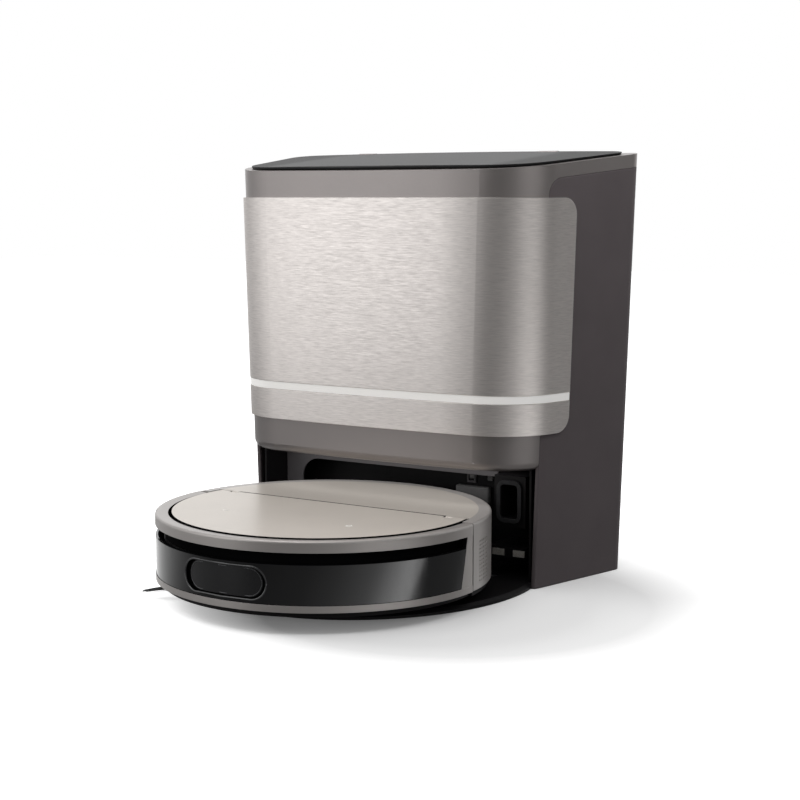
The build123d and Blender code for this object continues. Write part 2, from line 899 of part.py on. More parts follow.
def brush_house():
    end = brush_half_length + brush_end_gap + brush_shaft_reach
    half = brush_radius + brush_room + brush_house_wall
    top = brush_z + half
    outer = block((-end, end), (brush_y - half, brush_y + half), (chassis_bottom, top))
    room = brush_radius + brush_room
    inner_end = brush_half_length + brush_end_gap
    inner = block((-inner_end, inner_end), (brush_y - room, brush_y + room), (-far, brush_z))
    inner += rod(brush_y, brush_z, room, (-inner_end, inner_end))
    return outer - inner - rod(brush_y, brush_z, brush_shaft_radius + running, (-end - 1, end + 1))


def chassis():
    plate = post(0, 0, chassis_radius, (chassis_bottom, floor_top))
    plate += post(0, 0, shell_inner - seat, (chassis_bottom, floor_top)) & behind(shell_front + bumper_gap)
    wall = ring(wall_radius - chassis_wall, wall_radius, (floor_top, deck_z))
    low = rim_bottom + bumper_tab_drop
    for angle in bumper_tab_angles:
        half = bumper_tab_width / 2 + bumper_travel + bumper_margin
        slot_z = (low - seat, low + bumper_tab_height + seat)
        slot = block((chassis_radius - bumper_tab_reach, robot_radius), (-half, half), slot_z)
        wall -= at_angle(angle) * slot
    shape = plate + wall
    for angle in bumper_tab_angles:
        half = bumper_tab_width / 2
        start = bumper_inner - bumper_tab_reach
        rail = block((start, wall_radius - chassis_wall), (-half, half), (floor_top, low - seat))
        shape += at_angle(angle) * rail
    well_x = (wheel_x - arm_gap, wheel_x + wheel_width + wheel_well_margin)
    well_y = wheel_radius + wheel_well_margin
    for side in (1, -1):
        x = well_x if side > 0 else (-well_x[1], -well_x[0])
        shape -= block(x, (-well_y, well_y), (-far, floor_top))
    house_end = brush_half_length + brush_end_gap
    mouth_y = (brush_y - brush_radius, brush_y + brush_radius)
    shape -= block((-house_end, house_end), mouth_y, (-far, floor_top))
    shape += brush_house()
    arm_x = wheel_x - arm_gap - arm_width
    for side in (1, -1):
        inner = arm_x - seat - bracket_width
        outer = arm_x - seat
        x = (inner, outer) if side > 0 else (-outer, -inner)
        half = bracket_length / 2
        shape += block(x, (arm_length - half, arm_length + half), (floor_top, wheel_z + half))
        pin_x = (inner, arm_x + arm_width - 1)
        pin_x = pin_x if side > 0 else (-pin_x[1], -pin_x[0])
        shape += rod(arm_length, wheel_z, axle_radius, pin_x)
    cup = caster_disc_radius + caster_room + seat
    cup_top = caster_disc_z + caster_disc_height + seat
    shape += post(0, caster_y, cup + caster_cup_wall, (chassis_bottom, cup_top + caster_stem_length))
    shape -= post(0, caster_y, cup, (-far, cup_top))
    shape -= post(0, caster_y, caster_stem_radius + running, (-far, cup_top + caster_stem_length + 1))
    boss = side_shaft_radius + side_boss_wall
    shape += post(side_x, side_y, boss, (chassis_bottom, chassis_bottom + side_shaft_length + side_boss_wall))
    shape -= post(side_x, side_y, side_shaft_radius + running, (-far, chassis_bottom + side_shaft_length))
    for side in (-mop_x, mop_x):
        shape -= post(side, mop_y, mop_shaft_radius + mop_hole_gap, (-far, floor_top + 1))
    return shape


def mid_deck():
    shape = post(0, 0, wall_radius, (deck_z, deck_top))
    dust_half = dust_x + dust_room
    shape -= block((-dust_half, dust_half), (dust_y[0] - dust_room, dust_y[1] + dust_room), (-far, far))
    well_y = wheel_radius + wheel_well_margin
    well_x = (wheel_x - arm_gap, wheel_x + wheel_width + wheel_well_margin)
    for side in (1, -1):
        x = well_x if side > 0 else (-well_x[1], -well_x[0])
        shape -= block(x, (-well_y, well_y), (-far, far))
    for x in (-cover_post_x, cover_post_x):
        for y in cover_post_y:
            shape += post(x, y, cover_post_radius, (deck_z, cover_bottom - seat))
    lidar_top = deck_top + lidar_base_height
    shape += post(0, lidar_y, lidar_base_radius, (deck_z, lidar_top))
    return shape - post(0, lidar_y, lidar_pin_radius + running, (lidar_top - lidar_pin_depth, far))


def wheel_arm(side):
    x = (wheel_x - arm_gap - arm_width, wheel_x - arm_gap)
    x = x if side > 0 else (-x[1], -x[0])
    half = arm_height / 2
    body = block(x, (-arm_nose, arm_length + arm_tail), (wheel_z - half, wheel_z + half))
    long_edges = body.edges().filter_by(Axis.X)
    body = fillet(long_edges, arm_tail)
    body -= rod(arm_length, wheel_z, axle_radius + running, (x[0] - 1, x[1] + 1))
    axle = (wheel_x - arm_gap - 1, wheel_x + wheel_width - 2)
    axle = axle if side > 0 else (-axle[1], -axle[0])
    return body + rod(0, wheel_z, axle_radius, axle)


def hub(side):
    x = (wheel_x, wheel_x + wheel_width)
    x = x if side > 0 else (-x[1], -x[0])
    shape = rod(0, wheel_z, hub_radius - press, x)
    face = (x[1] - hub_dish, x[1] + 1) if side > 0 else (x[0] - 1, x[0] + hub_dish)
    shape -= rod(0, wheel_z, hub_radius - hub_dish, face) - rod(0, wheel_z, 2 * axle_radius, face)
    return shape - rod(0, wheel_z, axle_radius + running, (x[0] - 1, x[1] + 1))


def tyre(side):
    x = (wheel_x, wheel_x + wheel_width)
    x = x if side > 0 else (-x[1], -x[0])
    shape = rod(0, wheel_z, wheel_radius, x) - rod(0, wheel_z, hub_radius, (x[0] - 1, x[1] + 1))
    cuts = []
    for i in range(tread_count):
        groove = block(x, (-tread_width / 2, tread_width / 2), (wheel_radius - tread_depth, wheel_radius + 1))
        cuts.append(Pos(0, 0, wheel_z) * Rot(360 / tread_count * (i + 0.5), 0, 0) * groove)
    return shape - cuts


def caster_fork():
    disc_z = (caster_disc_z, caster_disc_z + caster_disc_height)
    shape = post(0, caster_y, caster_disc_radius, disc_z)
    shape += post(0, caster_y, caster_stem_radius, (disc_z[0], disc_z[1] + caster_stem_length))
    axle_z = ground + caster_radius
    inner = caster_width / 2 + seat
    y = caster_y + caster_trail
    for side in (1, -1):
        x = (inner, inner + caster_cheek) if side > 0 else (-inner - caster_cheek, -inner)
        half = caster_cheek_half
        cheek = block(x, (y - half, y + half), (axle_z, disc_z[1]))
        shape += cheek + rod(y, axle_z, half, x)
    shape -= rod(y, axle_z, caster_radius + caster_room, (-inner, inner))
    return shape + rod(y, axle_z, caster_axle_radius, (-inner - 1, inner + 1))


def caster_wheel():
    axle_z = ground + caster_radius
    y = caster_y + caster_trail
    half = caster_width / 2
    wheel = rod(y, axle_z, caster_radius, (-half, half))
    wheel = fillet(wheel.edges().filter_by(GeomType.CIRCLE), caster_edge)
    return wheel - rod(y, axle_z, caster_axle_radius + running, (-half - 1, half + 1))


def main_brush():
    core = rod(0, 0, brush_core, (-brush_half_length, brush_half_length))
    core += rod(0, 0, brush_shaft_radius, (-brush_half_length - brush_end_gap - brush_shaft_reach,
                                           brush_half_length + brush_end_gap + brush_shaft_reach))
    for i in range(brush_fins):
        fin = block((-brush_half_length, brush_half_length), (-brush_fin_width / 2, brush_fin_width / 2),
                    (brush_core / 2, brush_radius))
        core += Rot(360 / brush_fins * i, 0, 0) * fin
    return Pos(0, brush_y, brush_z) * core


def brush_guard():
    half_x = brush_half_length + brush_end_gap + guard_margin
    half_y = brush_radius + brush_room + brush_house_wall
    z = (chassis_bottom - guard_thickness, chassis_bottom)
    plate = soft_block((-half_x, half_x), (brush_y - half_y, brush_y + half_y), z, guard_margin)
    open_x = brush_half_length + brush_end_gap
    return plate - block((-open_x, open_x), (brush_y - guard_opening, brush_y + guard_opening), (-far, far))


def side_brush_hub():
    top = chassis_bottom - side_hub_gap
    low = top - side_hub_height
    inner = side_hub_radius - tuft_slice
    hub_body = post(side_x, side_y, inner, (low, top))
    hub_body += post(side_x, side_y, side_hub_radius, (top - 1, top))
    shaft_z = (top, chassis_bottom + side_shaft_length - seat)
    return hub_body + post(side_x, side_y, side_shaft_radius, shaft_z)


def strand(angle, across, height, fan):
    # One bristle: a square rod from the hub out to the sweep circle, drooping towards the floor
    start = side_hub_radius - tuft_slice / 2
    tip = ground + strand_size + tuft_tip_height * height
    root = chassis_bottom - side_hub_gap - side_hub_height * (tuft_root_low - tuft_root_span * height)
    length = side_sweep - start
    droop = math.degrees(math.atan2(root - tip, length))
    body = Pos(length / 2, 0, 0) * Box(length, strand_size, strand_size)
    local = Pos(start, across, root) * Rot(0, 0, fan) * Rot(0, droop, 0) * body
    return Rot(0, 0, angle) * local


def side_brush_bristles():
    top = chassis_bottom - side_hub_gap - 1
    low = chassis_bottom - side_hub_gap - side_hub_height
    inner = side_hub_radius - tuft_slice + press
    band = post(0, 0, side_hub_radius, (low, top)) - post(0, 0, inner, (low - 1, top + 1))
    strands = []
    for tuft in range(tuft_count):
        angle = tuft_first_angle + 360 / tuft_count * tuft
        for column in range(strand_columns):
            part = column / (strand_columns - 1) - 0.5
            for row in range(strand_rows):
                height = row / (strand_rows - 1)
                strands.append(strand(angle, part * tuft_width, height, part * strand_spread))
    return Pos(side_x, side_y, 0) * band.fuse(*strands)


def mop_plate(side):
    low = ground + mop_pad_thickness
    top = low + mop_plate_thickness
    shape = post(side * mop_x, mop_y, mop_plate_radius, (low, top))
    return shape + post(side * mop_x, mop_y, mop_shaft_radius, (top, top + mop_shaft_length))


def mop_pad(side):
    pad = post(side * mop_x, mop_y, mop_pad_radius, (ground, ground + mop_pad_thickness))
    return fillet(pad.edges().filter_by(GeomType.CIRCLE), mop_pad_thickness / 3)


def mop_gearbox():
    z = (floor_top, floor_top + gearbox_height)
    shape = soft_block((-gearbox_x, gearbox_x), (mop_y - gearbox_half_depth, mop_y + gearbox_half_depth), z,
                       gearbox_half_depth / 2)
    for side in (-mop_x, mop_x):
        shape -= post(side, mop_y, mop_shaft_radius + running, (-far, z[1] - gearbox_roof))
    return shape


# Robot inside

def dust_bottom():
    return brush_z + brush_radius + brush_room + brush_house_wall + seat


def dust_box():
    z = (dust_bottom(), dust_top)
    outer = block((-dust_x, dust_x), dust_y, z)
    w = dust_wall
    hollow = block((-dust_x + w, dust_x - w), (dust_y[0] + w, dust_y[1] + 1), (z[0] + w, z[1] - w))
    inlet = block((-dust_inlet_half, dust_inlet_half), (dust_y[0] - 1, dust_y[0] + 2 * w),
                  (z[0] + 2 * w, z[0] + 2 * w + dust_inlet_height))
    return outer - hollow - inlet


def dust_filter():
    w = dust_wall + seat
    z = (dust_bottom() + w, dust_top - w)
    return block((-dust_x + w, dust_x - w), (dust_y[1] - filter_thickness, dust_y[1]), z)


def battery():
    bottom = floor_top + gearbox_height
    return soft_block((-battery_x, battery_x), battery_y, (bottom, bottom + battery_height), battery_corner)


def main_board():
    z = (deck_top + main_board_standoff, deck_top + main_board_standoff + board_thickness)
    shape = block((-main_board_x, main_board_x), main_board_y, z)
    inset = 3 * board_post_radius
    for x in (-main_board_x + inset, main_board_x - inset):
        for y in (main_board_y[0] + inset, main_board_y[1] - inset):
            shape += post(x, y, board_post_radius, (deck_top, z[0]))
    return shape


def cliff_sensors():
    pieces = []
    for angle in cliff_angles:
        half = cliff_width / 2
        long = cliff_length / 2
        z = (chassis_bottom - cliff_height, chassis_bottom)
        lens = block((cliff_radius - half, cliff_radius + half), (-long, long), z)
        pieces.append((at_angle(angle) * lens).solid())
    return Compound(children=pieces)


def lidar_head():
    low = deck_top + lidar_base_height + seat
    shape = post(0, lidar_y, lidar_head_radius, (low, low + lidar_head_height))
    face = lidar_y - lidar_head_radius
    eye_z = (low + lidar_eye_margin, low + lidar_head_height - lidar_eye_margin)
    shape -= block((-lidar_eye_half, lidar_eye_half), (face - 1, face + lidar_eye_depth), eye_z)
    return shape + post(0, lidar_y, lidar_pin_radius, (low - lidar_pin_depth, low))


fan_size = (fan_x, fan_y, fan_radius, fan_height, inner_floor, fan_wall, fan_shaft_radius)
suction_size = (0, suction_y, suction_radius, suction_height, floor_top, suction_wall, suction_shaft_radius)

os.makedirs("parts", exist_ok=True)
save("base_tray", base_tray())
save("wash_board", wash_board())
save("rubber_feet", rubber_feet())
save("rear_housing", rear_housing())
save("front_fascia", front_fascia())
save("bay_liner", bay_liner())
save("steel_panel", steel_panel())
save("light_bar", light_bar())
save("top_lid", top_lid())
save("lid_hinge_pins", lid_hinge_pins())
save("tank_shelf", tank_shelf())
save("clean_tank", tank(1))
save("dirty_tank", tank(-1))
save("tank_caps", Compound(children=[tank_cap(1), tank_cap(-1)]))
save("dust_bag", dust_bag())
save("air_duct", air_duct())
save("fan_housing", fan_room(*fan_size))
save("fan_impeller", fan_wheel(*fan_size))
save("water_pumps", water_pumps())
save("power_board", power_board())
save("mains_inlet", mains_inlet())
save("port_block", port_block())
save("evac_seal", evac_seal())
save("charge_contacts", charge_contacts())
save("chassis", chassis())
save("mid_deck", mid_deck())
save("rear_shell", rear_shell())
save("exhaust_grille", exhaust_grille())
save("front_cover", front_cover())
save("cover_hinge_pins", cover_hinge_pins())
save("key_power", key(-1))
save("key_home", key(1))
save("bumper_frame", bumper_frame())
save("bumper_window", bumper_window())
save("sensor_lens", sensor_lens())
save("lidar_head", lidar_head())
save("dust_box", dust_box())
save("dust_filter", dust_filter())
save("suction_housing", fan_room(*suction_size))
save("suction_impeller", fan_wheel(*suction_size))
save("battery", battery())
save("main_board", main_board())
save("mop_gearbox", mop_gearbox())
save("brush_guard", brush_guard())
save("cliff_sensors", cliff_sensors())
save("main_brush", main_brush())
save("side_brush_hub", side_brush_hub())
save("side_brush_bristles", side_brush_bristles())
save("caster_fork", caster_fork())
save("caster_wheel", caster_wheel())
for word, side in (("left", -1), ("right", 1)):
    save(f"wheel_arm_{word}", wheel_arm(side))
    save(f"hub_{word}", hub(side))
    save(f"tyre_{word}", tyre(side))
    save(f"mop_plate_{word}", mop_plate(side))
    save(f"mop_pad_{word}", mop_pad(side))
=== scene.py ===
import bpy
import json
import math
import random
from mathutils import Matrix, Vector


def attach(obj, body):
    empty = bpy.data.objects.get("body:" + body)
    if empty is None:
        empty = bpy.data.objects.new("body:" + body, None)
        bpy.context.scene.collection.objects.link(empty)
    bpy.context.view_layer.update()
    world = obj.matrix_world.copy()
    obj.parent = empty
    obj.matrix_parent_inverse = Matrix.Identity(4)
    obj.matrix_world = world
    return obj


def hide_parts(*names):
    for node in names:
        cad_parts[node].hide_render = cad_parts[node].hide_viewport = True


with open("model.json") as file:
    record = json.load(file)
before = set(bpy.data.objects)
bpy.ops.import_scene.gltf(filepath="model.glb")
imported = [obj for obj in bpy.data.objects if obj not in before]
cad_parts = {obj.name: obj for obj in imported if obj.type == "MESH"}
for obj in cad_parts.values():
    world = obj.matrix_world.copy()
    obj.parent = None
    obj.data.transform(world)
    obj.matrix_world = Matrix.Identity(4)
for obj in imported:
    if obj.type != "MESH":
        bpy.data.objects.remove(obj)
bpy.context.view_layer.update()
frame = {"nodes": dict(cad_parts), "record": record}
nodes = frame["nodes"]
print("frame loaded:", len(nodes), "nodes")


# materials

def newFinish(name):
    mat = bpy.data.materials.new(name)
    mat.use_nodes = True
    return mat, mat.node_tree, mat.node_tree.nodes["Principled BSDF"]


def addNode(tree, kind, **values):
    node = tree.nodes.new(kind)
    for key, value in values.items():
        if key in node.inputs:
            node.inputs[key].default_value = value
        else:
            setattr(node, key, value)
    return node


def objectCoords(tree, scale=(1, 1, 1)):
    coords = tree.nodes.new("ShaderNodeTexCoord")
    mapping = addNode(tree, "ShaderNodeMapping", Scale=scale)
    tree.links.new(coords.outputs["Object"], mapping.inputs["Vector"])
    return mapping.outputs["Vector"]


def noise(tree, vector, size, detail=2.0, rough=0.5):
    tex = addNode(tree, "ShaderNodeTexNoise", Scale=1.0 / size, Detail=detail, Roughness=rough)
    tree.links.new(vector, tex.inputs["Vector"])
    return tex.outputs["Fac"]


def spread(tree, fac, low, high, fromLow=0.3, fromHigh=0.7):
    ranger = addNode(tree, "ShaderNodeMapRange")
    tree.links.new(fac, ranger.inputs[0])
    for socket, value in zip(ranger.inputs[1:5], (fromLow, fromHigh, low, high)):
        socket.default_value = value
    return ranger.outputs[0]


def mixColour(tree, fac, low, high):
    mixer = addNode(tree, "ShaderNodeMix", data_type="RGBA")
    tree.links.new(fac, mixer.inputs[0])
    for socket, colour in ((mixer.inputs[6], low), (mixer.inputs[7], high)):
        if isinstance(colour, tuple):
            socket.default_value = (*colour, 1)
        else:
            tree.links.new(colour, socket)
    return mixer.outputs[2]


def calc(tree, operation, first, second=0.5):
    node = addNode(tree, "ShaderNodeMath", operation=operation)
    for socket, value in zip(node.inputs, (first, second)):
        if isinstance(value, (int, float)):
            socket.default_value = value
        else:
            tree.links.new(value, socket)
    return node.outputs[0]


def shade(colour, share):
    return tuple(min(1.0, c * share) for c in colour)


def softEdges(tree, radius):
    # rounds the light on sharp moulded edges
    bevel = addNode(tree, "ShaderNodeBevel", samples=4, Radius=radius)
    return bevel.outputs["Normal"]


def bump(tree, shader, height, depth, strength=0.5, edge=0.0005, base=None):
    node = addNode(tree, "ShaderNodeBump", Strength=strength, Distance=depth)
    tree.links.new(height, node.inputs["Height"])
    if edge and base is None:
        base = softEdges(tree, edge)
    if base is not None:
        tree.links.new(base, node.inputs["Normal"])
    tree.links.new(node.outputs["Normal"], shader.inputs["Normal"])


def mouldedPlastic(name, colour, roughness=0.45, grain=0.0007, specular=0.4, vary=0.06, edge=0.0005):
    # satin moulding: fine spark-eroded grain, faint clouding
    mat, tree, shader = newFinish(name)
    coords = objectCoords(tree)
    fine = noise(tree, coords, grain, 2)
    broad = noise(tree, coords, 0.06, 3)
    tone = mixColour(tree, spread(tree, broad, 0, 1), shade(colour, 1 - vary), shade(colour, 1 + vary))
    tree.links.new(tone, shader.inputs["Base Color"])
    tree.links.new(spread(tree, fine, roughness - 0.05, roughness + 0.06), shader.inputs["Roughness"])
    shader.inputs["Specular IOR Level"].default_value = specular
    bump(tree, shader, fine, 0.00006, 0.35, edge)
    return mat


lacquerCoat = 0.12


def metallicPaint(name, colour, roughness=0.36, metal=0.55, flake=0.00022, lean=0.0):
    # satin metallic lacquer with small flakes
    mat, tree, shader = newFinish(name)
    coords = objectCoords(tree)
    flakes = addNode(tree, "ShaderNodeTexVoronoi", Scale=1.0 / flake)
    tree.links.new(coords, flakes.inputs["Vector"])
    glint = addNode(tree, "ShaderNodeSeparateColor")
    tree.links.new(flakes.outputs["Color"], glint.inputs[0])
    broad = noise(tree, coords, 0.09, 2)
    base = mixColour(tree, spread(tree, broad, 0, 1), shade(colour, 0.96), shade(colour, 1.04))
    tone = mixColour(tree, spread(tree, glint.outputs[0], 0, 0.25, 0, 1), base, shade(colour, 1.35))
    tree.links.new(tone, shader.inputs["Base Color"])
    shader.inputs["Metallic"].default_value = metal
    gloss = spread(tree, glint.outputs[1], roughness - 0.05, roughness + 0.07, 0, 1)
    tree.links.new(gloss, shader.inputs["Roughness"])
    shader.inputs["Coat Weight"].default_value = lacquerCoat
    shader.inputs["Coat Roughness"].default_value = 0.2
    normal = softEdges(tree, 0.0005)
    if lean:
        normal = easedCorner(tree, normal, lean)
    bump(tree, shader, glint.outputs[2], 0.00002, 0.12, base=normal)
    return mat, tree, shader, tone


cornerEase = {"from": 0.089, "to": 0.134, "end": 0.172, "panelLean": 0.115, "fasciaLean": 0.06}


def easedCorner(tree, normal, most):
    # shaded as if the sheet starts to turn a little before its bent corner
    coords = tree.nodes.new("ShaderNodeTexCoord")
    part = tree.nodes.new("ShaderNodeSeparateXYZ")
    tree.links.new(coords.outputs["Object"], part.inputs[0])
    x = part.outputs[0]
    across = calc(tree, "ABSOLUTE", x)
    lean = spread(tree, across, 0, most, cornerEase["from"], cornerEase["to"])
    lean = calc(tree, "MULTIPLY", lean, spread(tree, across, 1, 0, cornerEase["to"], cornerEase["end"]))
    sideways = tree.nodes.new("ShaderNodeCombineXYZ")
    tree.links.new(calc(tree, "MULTIPLY", lean, calc(tree, "SIGN", x)), sideways.inputs[0])
    total = addNode(tree, "ShaderNodeVectorMath", operation="ADD")
    tree.links.new(normal, total.inputs[0])
    tree.links.new(sideways.outputs[0], total.inputs[1])
    unit = addNode(tree, "ShaderNodeVectorMath", operation="NORMALIZE")
    tree.links.new(total.outputs[0], unit.inputs[0])
    return unit.outputs[0]


brushLines = {"fineStretch": 0.035, "fineSize": 0.00042, "fineShare": 0.62, "coarseStretch": 0.11,
              "coarseSize": 0.0013, "coarseShare": 0.38, "dark": 0.84, "light": 1.13, "edge": 0.0008}


def brushedSteel(name, colour):
    # horizontal brush lines in two sizes
    mat, tree, shader = newFinish(name)
    fineScale = (brushLines["fineStretch"], brushLines["fineStretch"], 1)
    coarseScale = (brushLines["coarseStretch"], brushLines["coarseStretch"], 1)
    fine = noise(tree, objectCoords(tree, fineScale), brushLines["fineSize"], 3, 0.65)
    coarse = noise(tree, objectCoords(tree, coarseScale), brushLines["coarseSize"], 2, 0.6)
    lines = calc(tree, "ADD", calc(tree, "MULTIPLY", fine, brushLines["fineShare"]),
                 calc(tree, "MULTIPLY", coarse, brushLines["coarseShare"]))
    tone = mixColour(tree, spread(tree, lines, 0, 1, 0.33, 0.67), shade(colour, brushLines["dark"]),
                     shade(colour, brushLines["light"]))
    tree.links.new(tone, shader.inputs["Base Color"])
    shader.inputs["Metallic"].default_value = 1.0
    tree.links.new(spread(tree, lines, 0.42, 0.3), shader.inputs["Roughness"])
    shader.inputs["Anisotropic"].default_value = 0.55
    grain = addNode(tree, "ShaderNodeTangent", direction_type="RADIAL", axis="Z")
    tree.links.new(grain.outputs[0], shader.inputs["Tangent"])
    base = easedCorner(tree, softEdges(tree, brushLines["edge"]), cornerEase["panelLean"])
    bump(tree, shader, lines, 0.00006, 0.25, base=base)
    return mat


def glossyPanel(name, colour, roughness=0.07, specular=0.3):
    # polished smoked plastic with faint wipe marks in its gloss
    mat, tree, shader = newFinish(name)
    coords = objectCoords(tree, (1, 1, 0.3))
    wipe = noise(tree, coords, 0.02, 4, 0.6)
    tree.links.new(mixColour(tree, wipe, shade(colour, 0.8), shade(colour, 1.2)), shader.inputs["Base Color"])
    tree.links.new(spread(tree, wipe, roughness - 0.02, roughness + 0.03), shader.inputs["Roughness"])
    shader.inputs["Specular IOR Level"].default_value = specular
    return mat


def clearTank(name, colour, alpha):
    mat, tree, shader = newFinish(name)
    wave = noise(tree, objectCoords(tree), 0.03, 2)
    tone = mixColour(tree, wave, shade(colour, 0.92), shade(colour, 1.08))
    tree.links.new(tone, shader.inputs["Base Color"])
    tree.links.new(spread(tree, wave, 0.1, 0.18), shader.inputs["Roughness"])
    shader.inputs["Alpha"].default_value = alpha
    bump(tree, shader, wave, 0.0004, 0.1, 0.0008)
    return mat


def softRubber(name, colour, roughness=0.72):
    mat, tree, shader = newFinish(name)
    coords = objectCoords(tree)
    fine = noise(tree, coords, 0.0009, 3)
    dust = noise(tree, coords, 0.012, 4, 0.65)
    tree.links.new(mixColour(tree, spread(tree, dust, 0, 1, 0.4, 0.75), colour, shade(colour, 1.7)),
                   shader.inputs["Base Color"])
    tree.links.new(spread(tree, fine, roughness - 0.06, roughness + 0.1), shader.inputs["Roughness"])
    shader.inputs["Specular IOR Level"].default_value = 0.3
    bump(tree, shader, fine, 0.0001, 0.4)
    return mat


def fleece(name, colour, pile):
    # looped or felted fibres with a pale sheen
    mat, tree, shader = newFinish(name)
    coords = objectCoords(tree)
    loops = addNode(tree, "ShaderNodeTexVoronoi", Scale=1.0 / pile)
    tree.links.new(coords, loops.inputs["Vector"])
    fibre = noise(tree, coords, pile * 0.35, 4, 0.7)
    tuft = calc(tree, "ADD", loops.outputs["Distance"], calc(tree, "MULTIPLY", fibre, 0.6))
    tone = mixColour(tree, spread(tree, tuft, 0, 1, 0.3, 1.1), shade(colour, 1.2), shade(colour, 0.62))
    tree.links.new(tone, shader.inputs["Base Color"])
    tree.links.new(spread(tree, fibre, 0.82, 0.97), shader.inputs["Roughness"])
    shader.inputs["Sheen Weight"].default_value = 0.35
    shader.inputs["Sheen Roughness"].default_value = 0.5
    bump(tree, shader, tuft, -pile * 0.5, 0.7, 0)
    return mat


def barMetal(name, colour, roughness=0.2):
    # turned or stamped bright metal with fine marks
    mat, tree, shader = newFinish(name)
    marks = noise(tree, objectCoords(tree, (0.1, 1, 1)), 0.0004, 3, 0.6)
    tone = mixColour(tree, marks, shade(colour, 0.9), shade(colour, 1.08))
    tree.links.new(tone, shader.inputs["Base Color"])
    shader.inputs["Metallic"].default_value = 1.0
    tree.links.new(spread(tree, marks, roughness - 0.05, roughness + 0.1), shader.inputs["Roughness"])
    return mat


def boardLaminate(name):
    # green lacquer over tracks, with bare solder pads
    mat, tree, shader = newFinish(name)
    coords = objectCoords(tree)
    tracks = addNode(tree, "ShaderNodeTexBrick", Scale=90.0)
    tracks.inputs["Mortar Size"].default_value = 0.035
    lacquer = {"Color1": (0.012, 0.1, 0.045), "Color2": (0.016, 0.125, 0.055), "Mortar": (0.03, 0.2, 0.09)}
    for key, colour in lacquer.items():
        tracks.inputs[key].default_value = (*colour, 1)
    tree.links.new(coords, tracks.inputs["Vector"])
    pads = addNode(tree, "ShaderNodeTexVoronoi", Scale=160.0)
    tree.links.new(coords, pads.inputs["Vector"])
    dots = spread(tree, pads.outputs["Distance"], 1, 0, 0.12, 0.16)
    tone = mixColour(tree, dots, tracks.outputs["Color"], (0.55, 0.53, 0.48))
    tree.links.new(tone, shader.inputs["Base Color"])
    tree.links.new(spread(tree, dots, 0.35, 0.25, 0, 1), shader.inputs["Roughness"])
    bump(tree, shader, tracks.outputs["Fac"], 0.0001, 0.3)
    return mat


finishes = {
    "charcoal_plastic": mouldedPlastic("charcoal_moulding", (0.105, 0.09, 0.094), 0.5, specular=0.25,
                                       edge=0.003),
    "black_plastic": mouldedPlastic("black_moulding", (0.006, 0.0055, 0.006), 0.5, specular=0.12),
    "dark_grey_plastic": mouldedPlastic("dark_grey_moulding", (0.03, 0.03, 0.032), 0.48, specular=0.3),
    "white_plastic": mouldedPlastic("white_moulding", (0.66, 0.66, 0.64), 0.4),
    "bristle_nylon": mouldedPlastic("bristle_nylon", (0.012, 0.012, 0.013), 0.4, edge=0),
    "battery_wrap": mouldedPlastic("battery_wrap", (0.02, 0.045, 0.11), 0.32),
    "brushed_panel": brushedSteel("brushed_champagne_steel", (0.71, 0.668, 0.643)),
    "smoked_window": glossyPanel("smoked_window", (0.004, 0.004, 0.0045), specular=0.5),
    "tank_plastic": clearTank("clear_tank", (0.55, 0.6, 0.64), 0.38),
    "smoked_tank": clearTank("smoked_tank", (0.1, 0.1, 0.11), 0.62),
    "rubber": softRubber("seal_rubber", (0.014, 0.014, 0.015)),
    "tyre_rubber": softRubber("tyre_rubber", (0.022, 0.022, 0.023), 0.8),
    "mop_fleece": fleece("mop_fleece", (0.3, 0.32, 0.345), 0.0022),
    "bag_fleece": fleece("bag_fleece", (0.7, 0.69, 0.65), 0.0012),
    "filter_paper": fleece("filter_paper", (0.75, 0.75, 0.72), 0.0007),
    "pin_steel": barMetal("pin_steel", (0.7, 0.7, 0.71)),
    "contact_metal": barMetal("contact_metal", (0.78, 0.75, 0.68), 0.16),
    "board_laminate": boardLaminate("board_laminate"),
}


def heightOver(tree, turn, origin):
    # height above a tilted plane through a point, in metres
    coords = tree.nodes.new("ShaderNodeTexCoord")
    shift = addNode(tree, "ShaderNodeVectorMath", operation="SUBTRACT")
    tree.links.new(coords.outputs["Object"], shift.inputs[0])
    shift.inputs[1].default_value = origin
    along = addNode(tree, "ShaderNodeVectorMath", operation="DOT_PRODUCT")
    tree.links.new(shift.outputs[0], along.inputs[0])
    along.inputs[1].default_value = (0, -math.sin(turn), math.cos(turn))
    return along.outputs["Value"]


lidFinish = {"colour": (0.068, 0.068, 0.069), "edgeColour": (0.012, 0.012, 0.0125), "edgeHeight": 0.0034,
             "edgeSoft": 0.0002, "slope": math.radians(5.7), "corner": (0, 0.0805, 0.439)}


def lidPlastic():
    # charcoal top with a black edge band
    mat, tree, shader = newFinish("lid_charcoal")
    height = heightOver(tree, lidFinish["slope"], lidFinish["corner"])
    band = lidFinish["edgeHeight"]
    top = spread(tree, height, 0, 1, band, band + lidFinish["edgeSoft"])
    fine = noise(tree, objectCoords(tree), 0.0006, 2)
    clouds = noise(tree, objectCoords(tree), 0.08, 2)
    face = mixColour(tree, clouds, shade(lidFinish["colour"], 0.94), shade(lidFinish["colour"], 1.06))
    tree.links.new(mixColour(tree, top, lidFinish["edgeColour"], face), shader.inputs["Base Color"])
    tree.links.new(spread(tree, fine, 0.45, 0.55), shader.inputs["Roughness"])
    shader.inputs["Specular IOR Level"].default_value = 0.2
    bump(tree, shader, fine, 0.00004, 0.25)
    return mat


# painted glow on the light guide: a faint emission, not a lamp
lightGuide = {"dark": (0.83, 0.82, 0.8), "pale": (0.9, 0.89, 0.87), "glowColour": (1, 0.985, 0.96),
              "paintedGlow": 0.19}


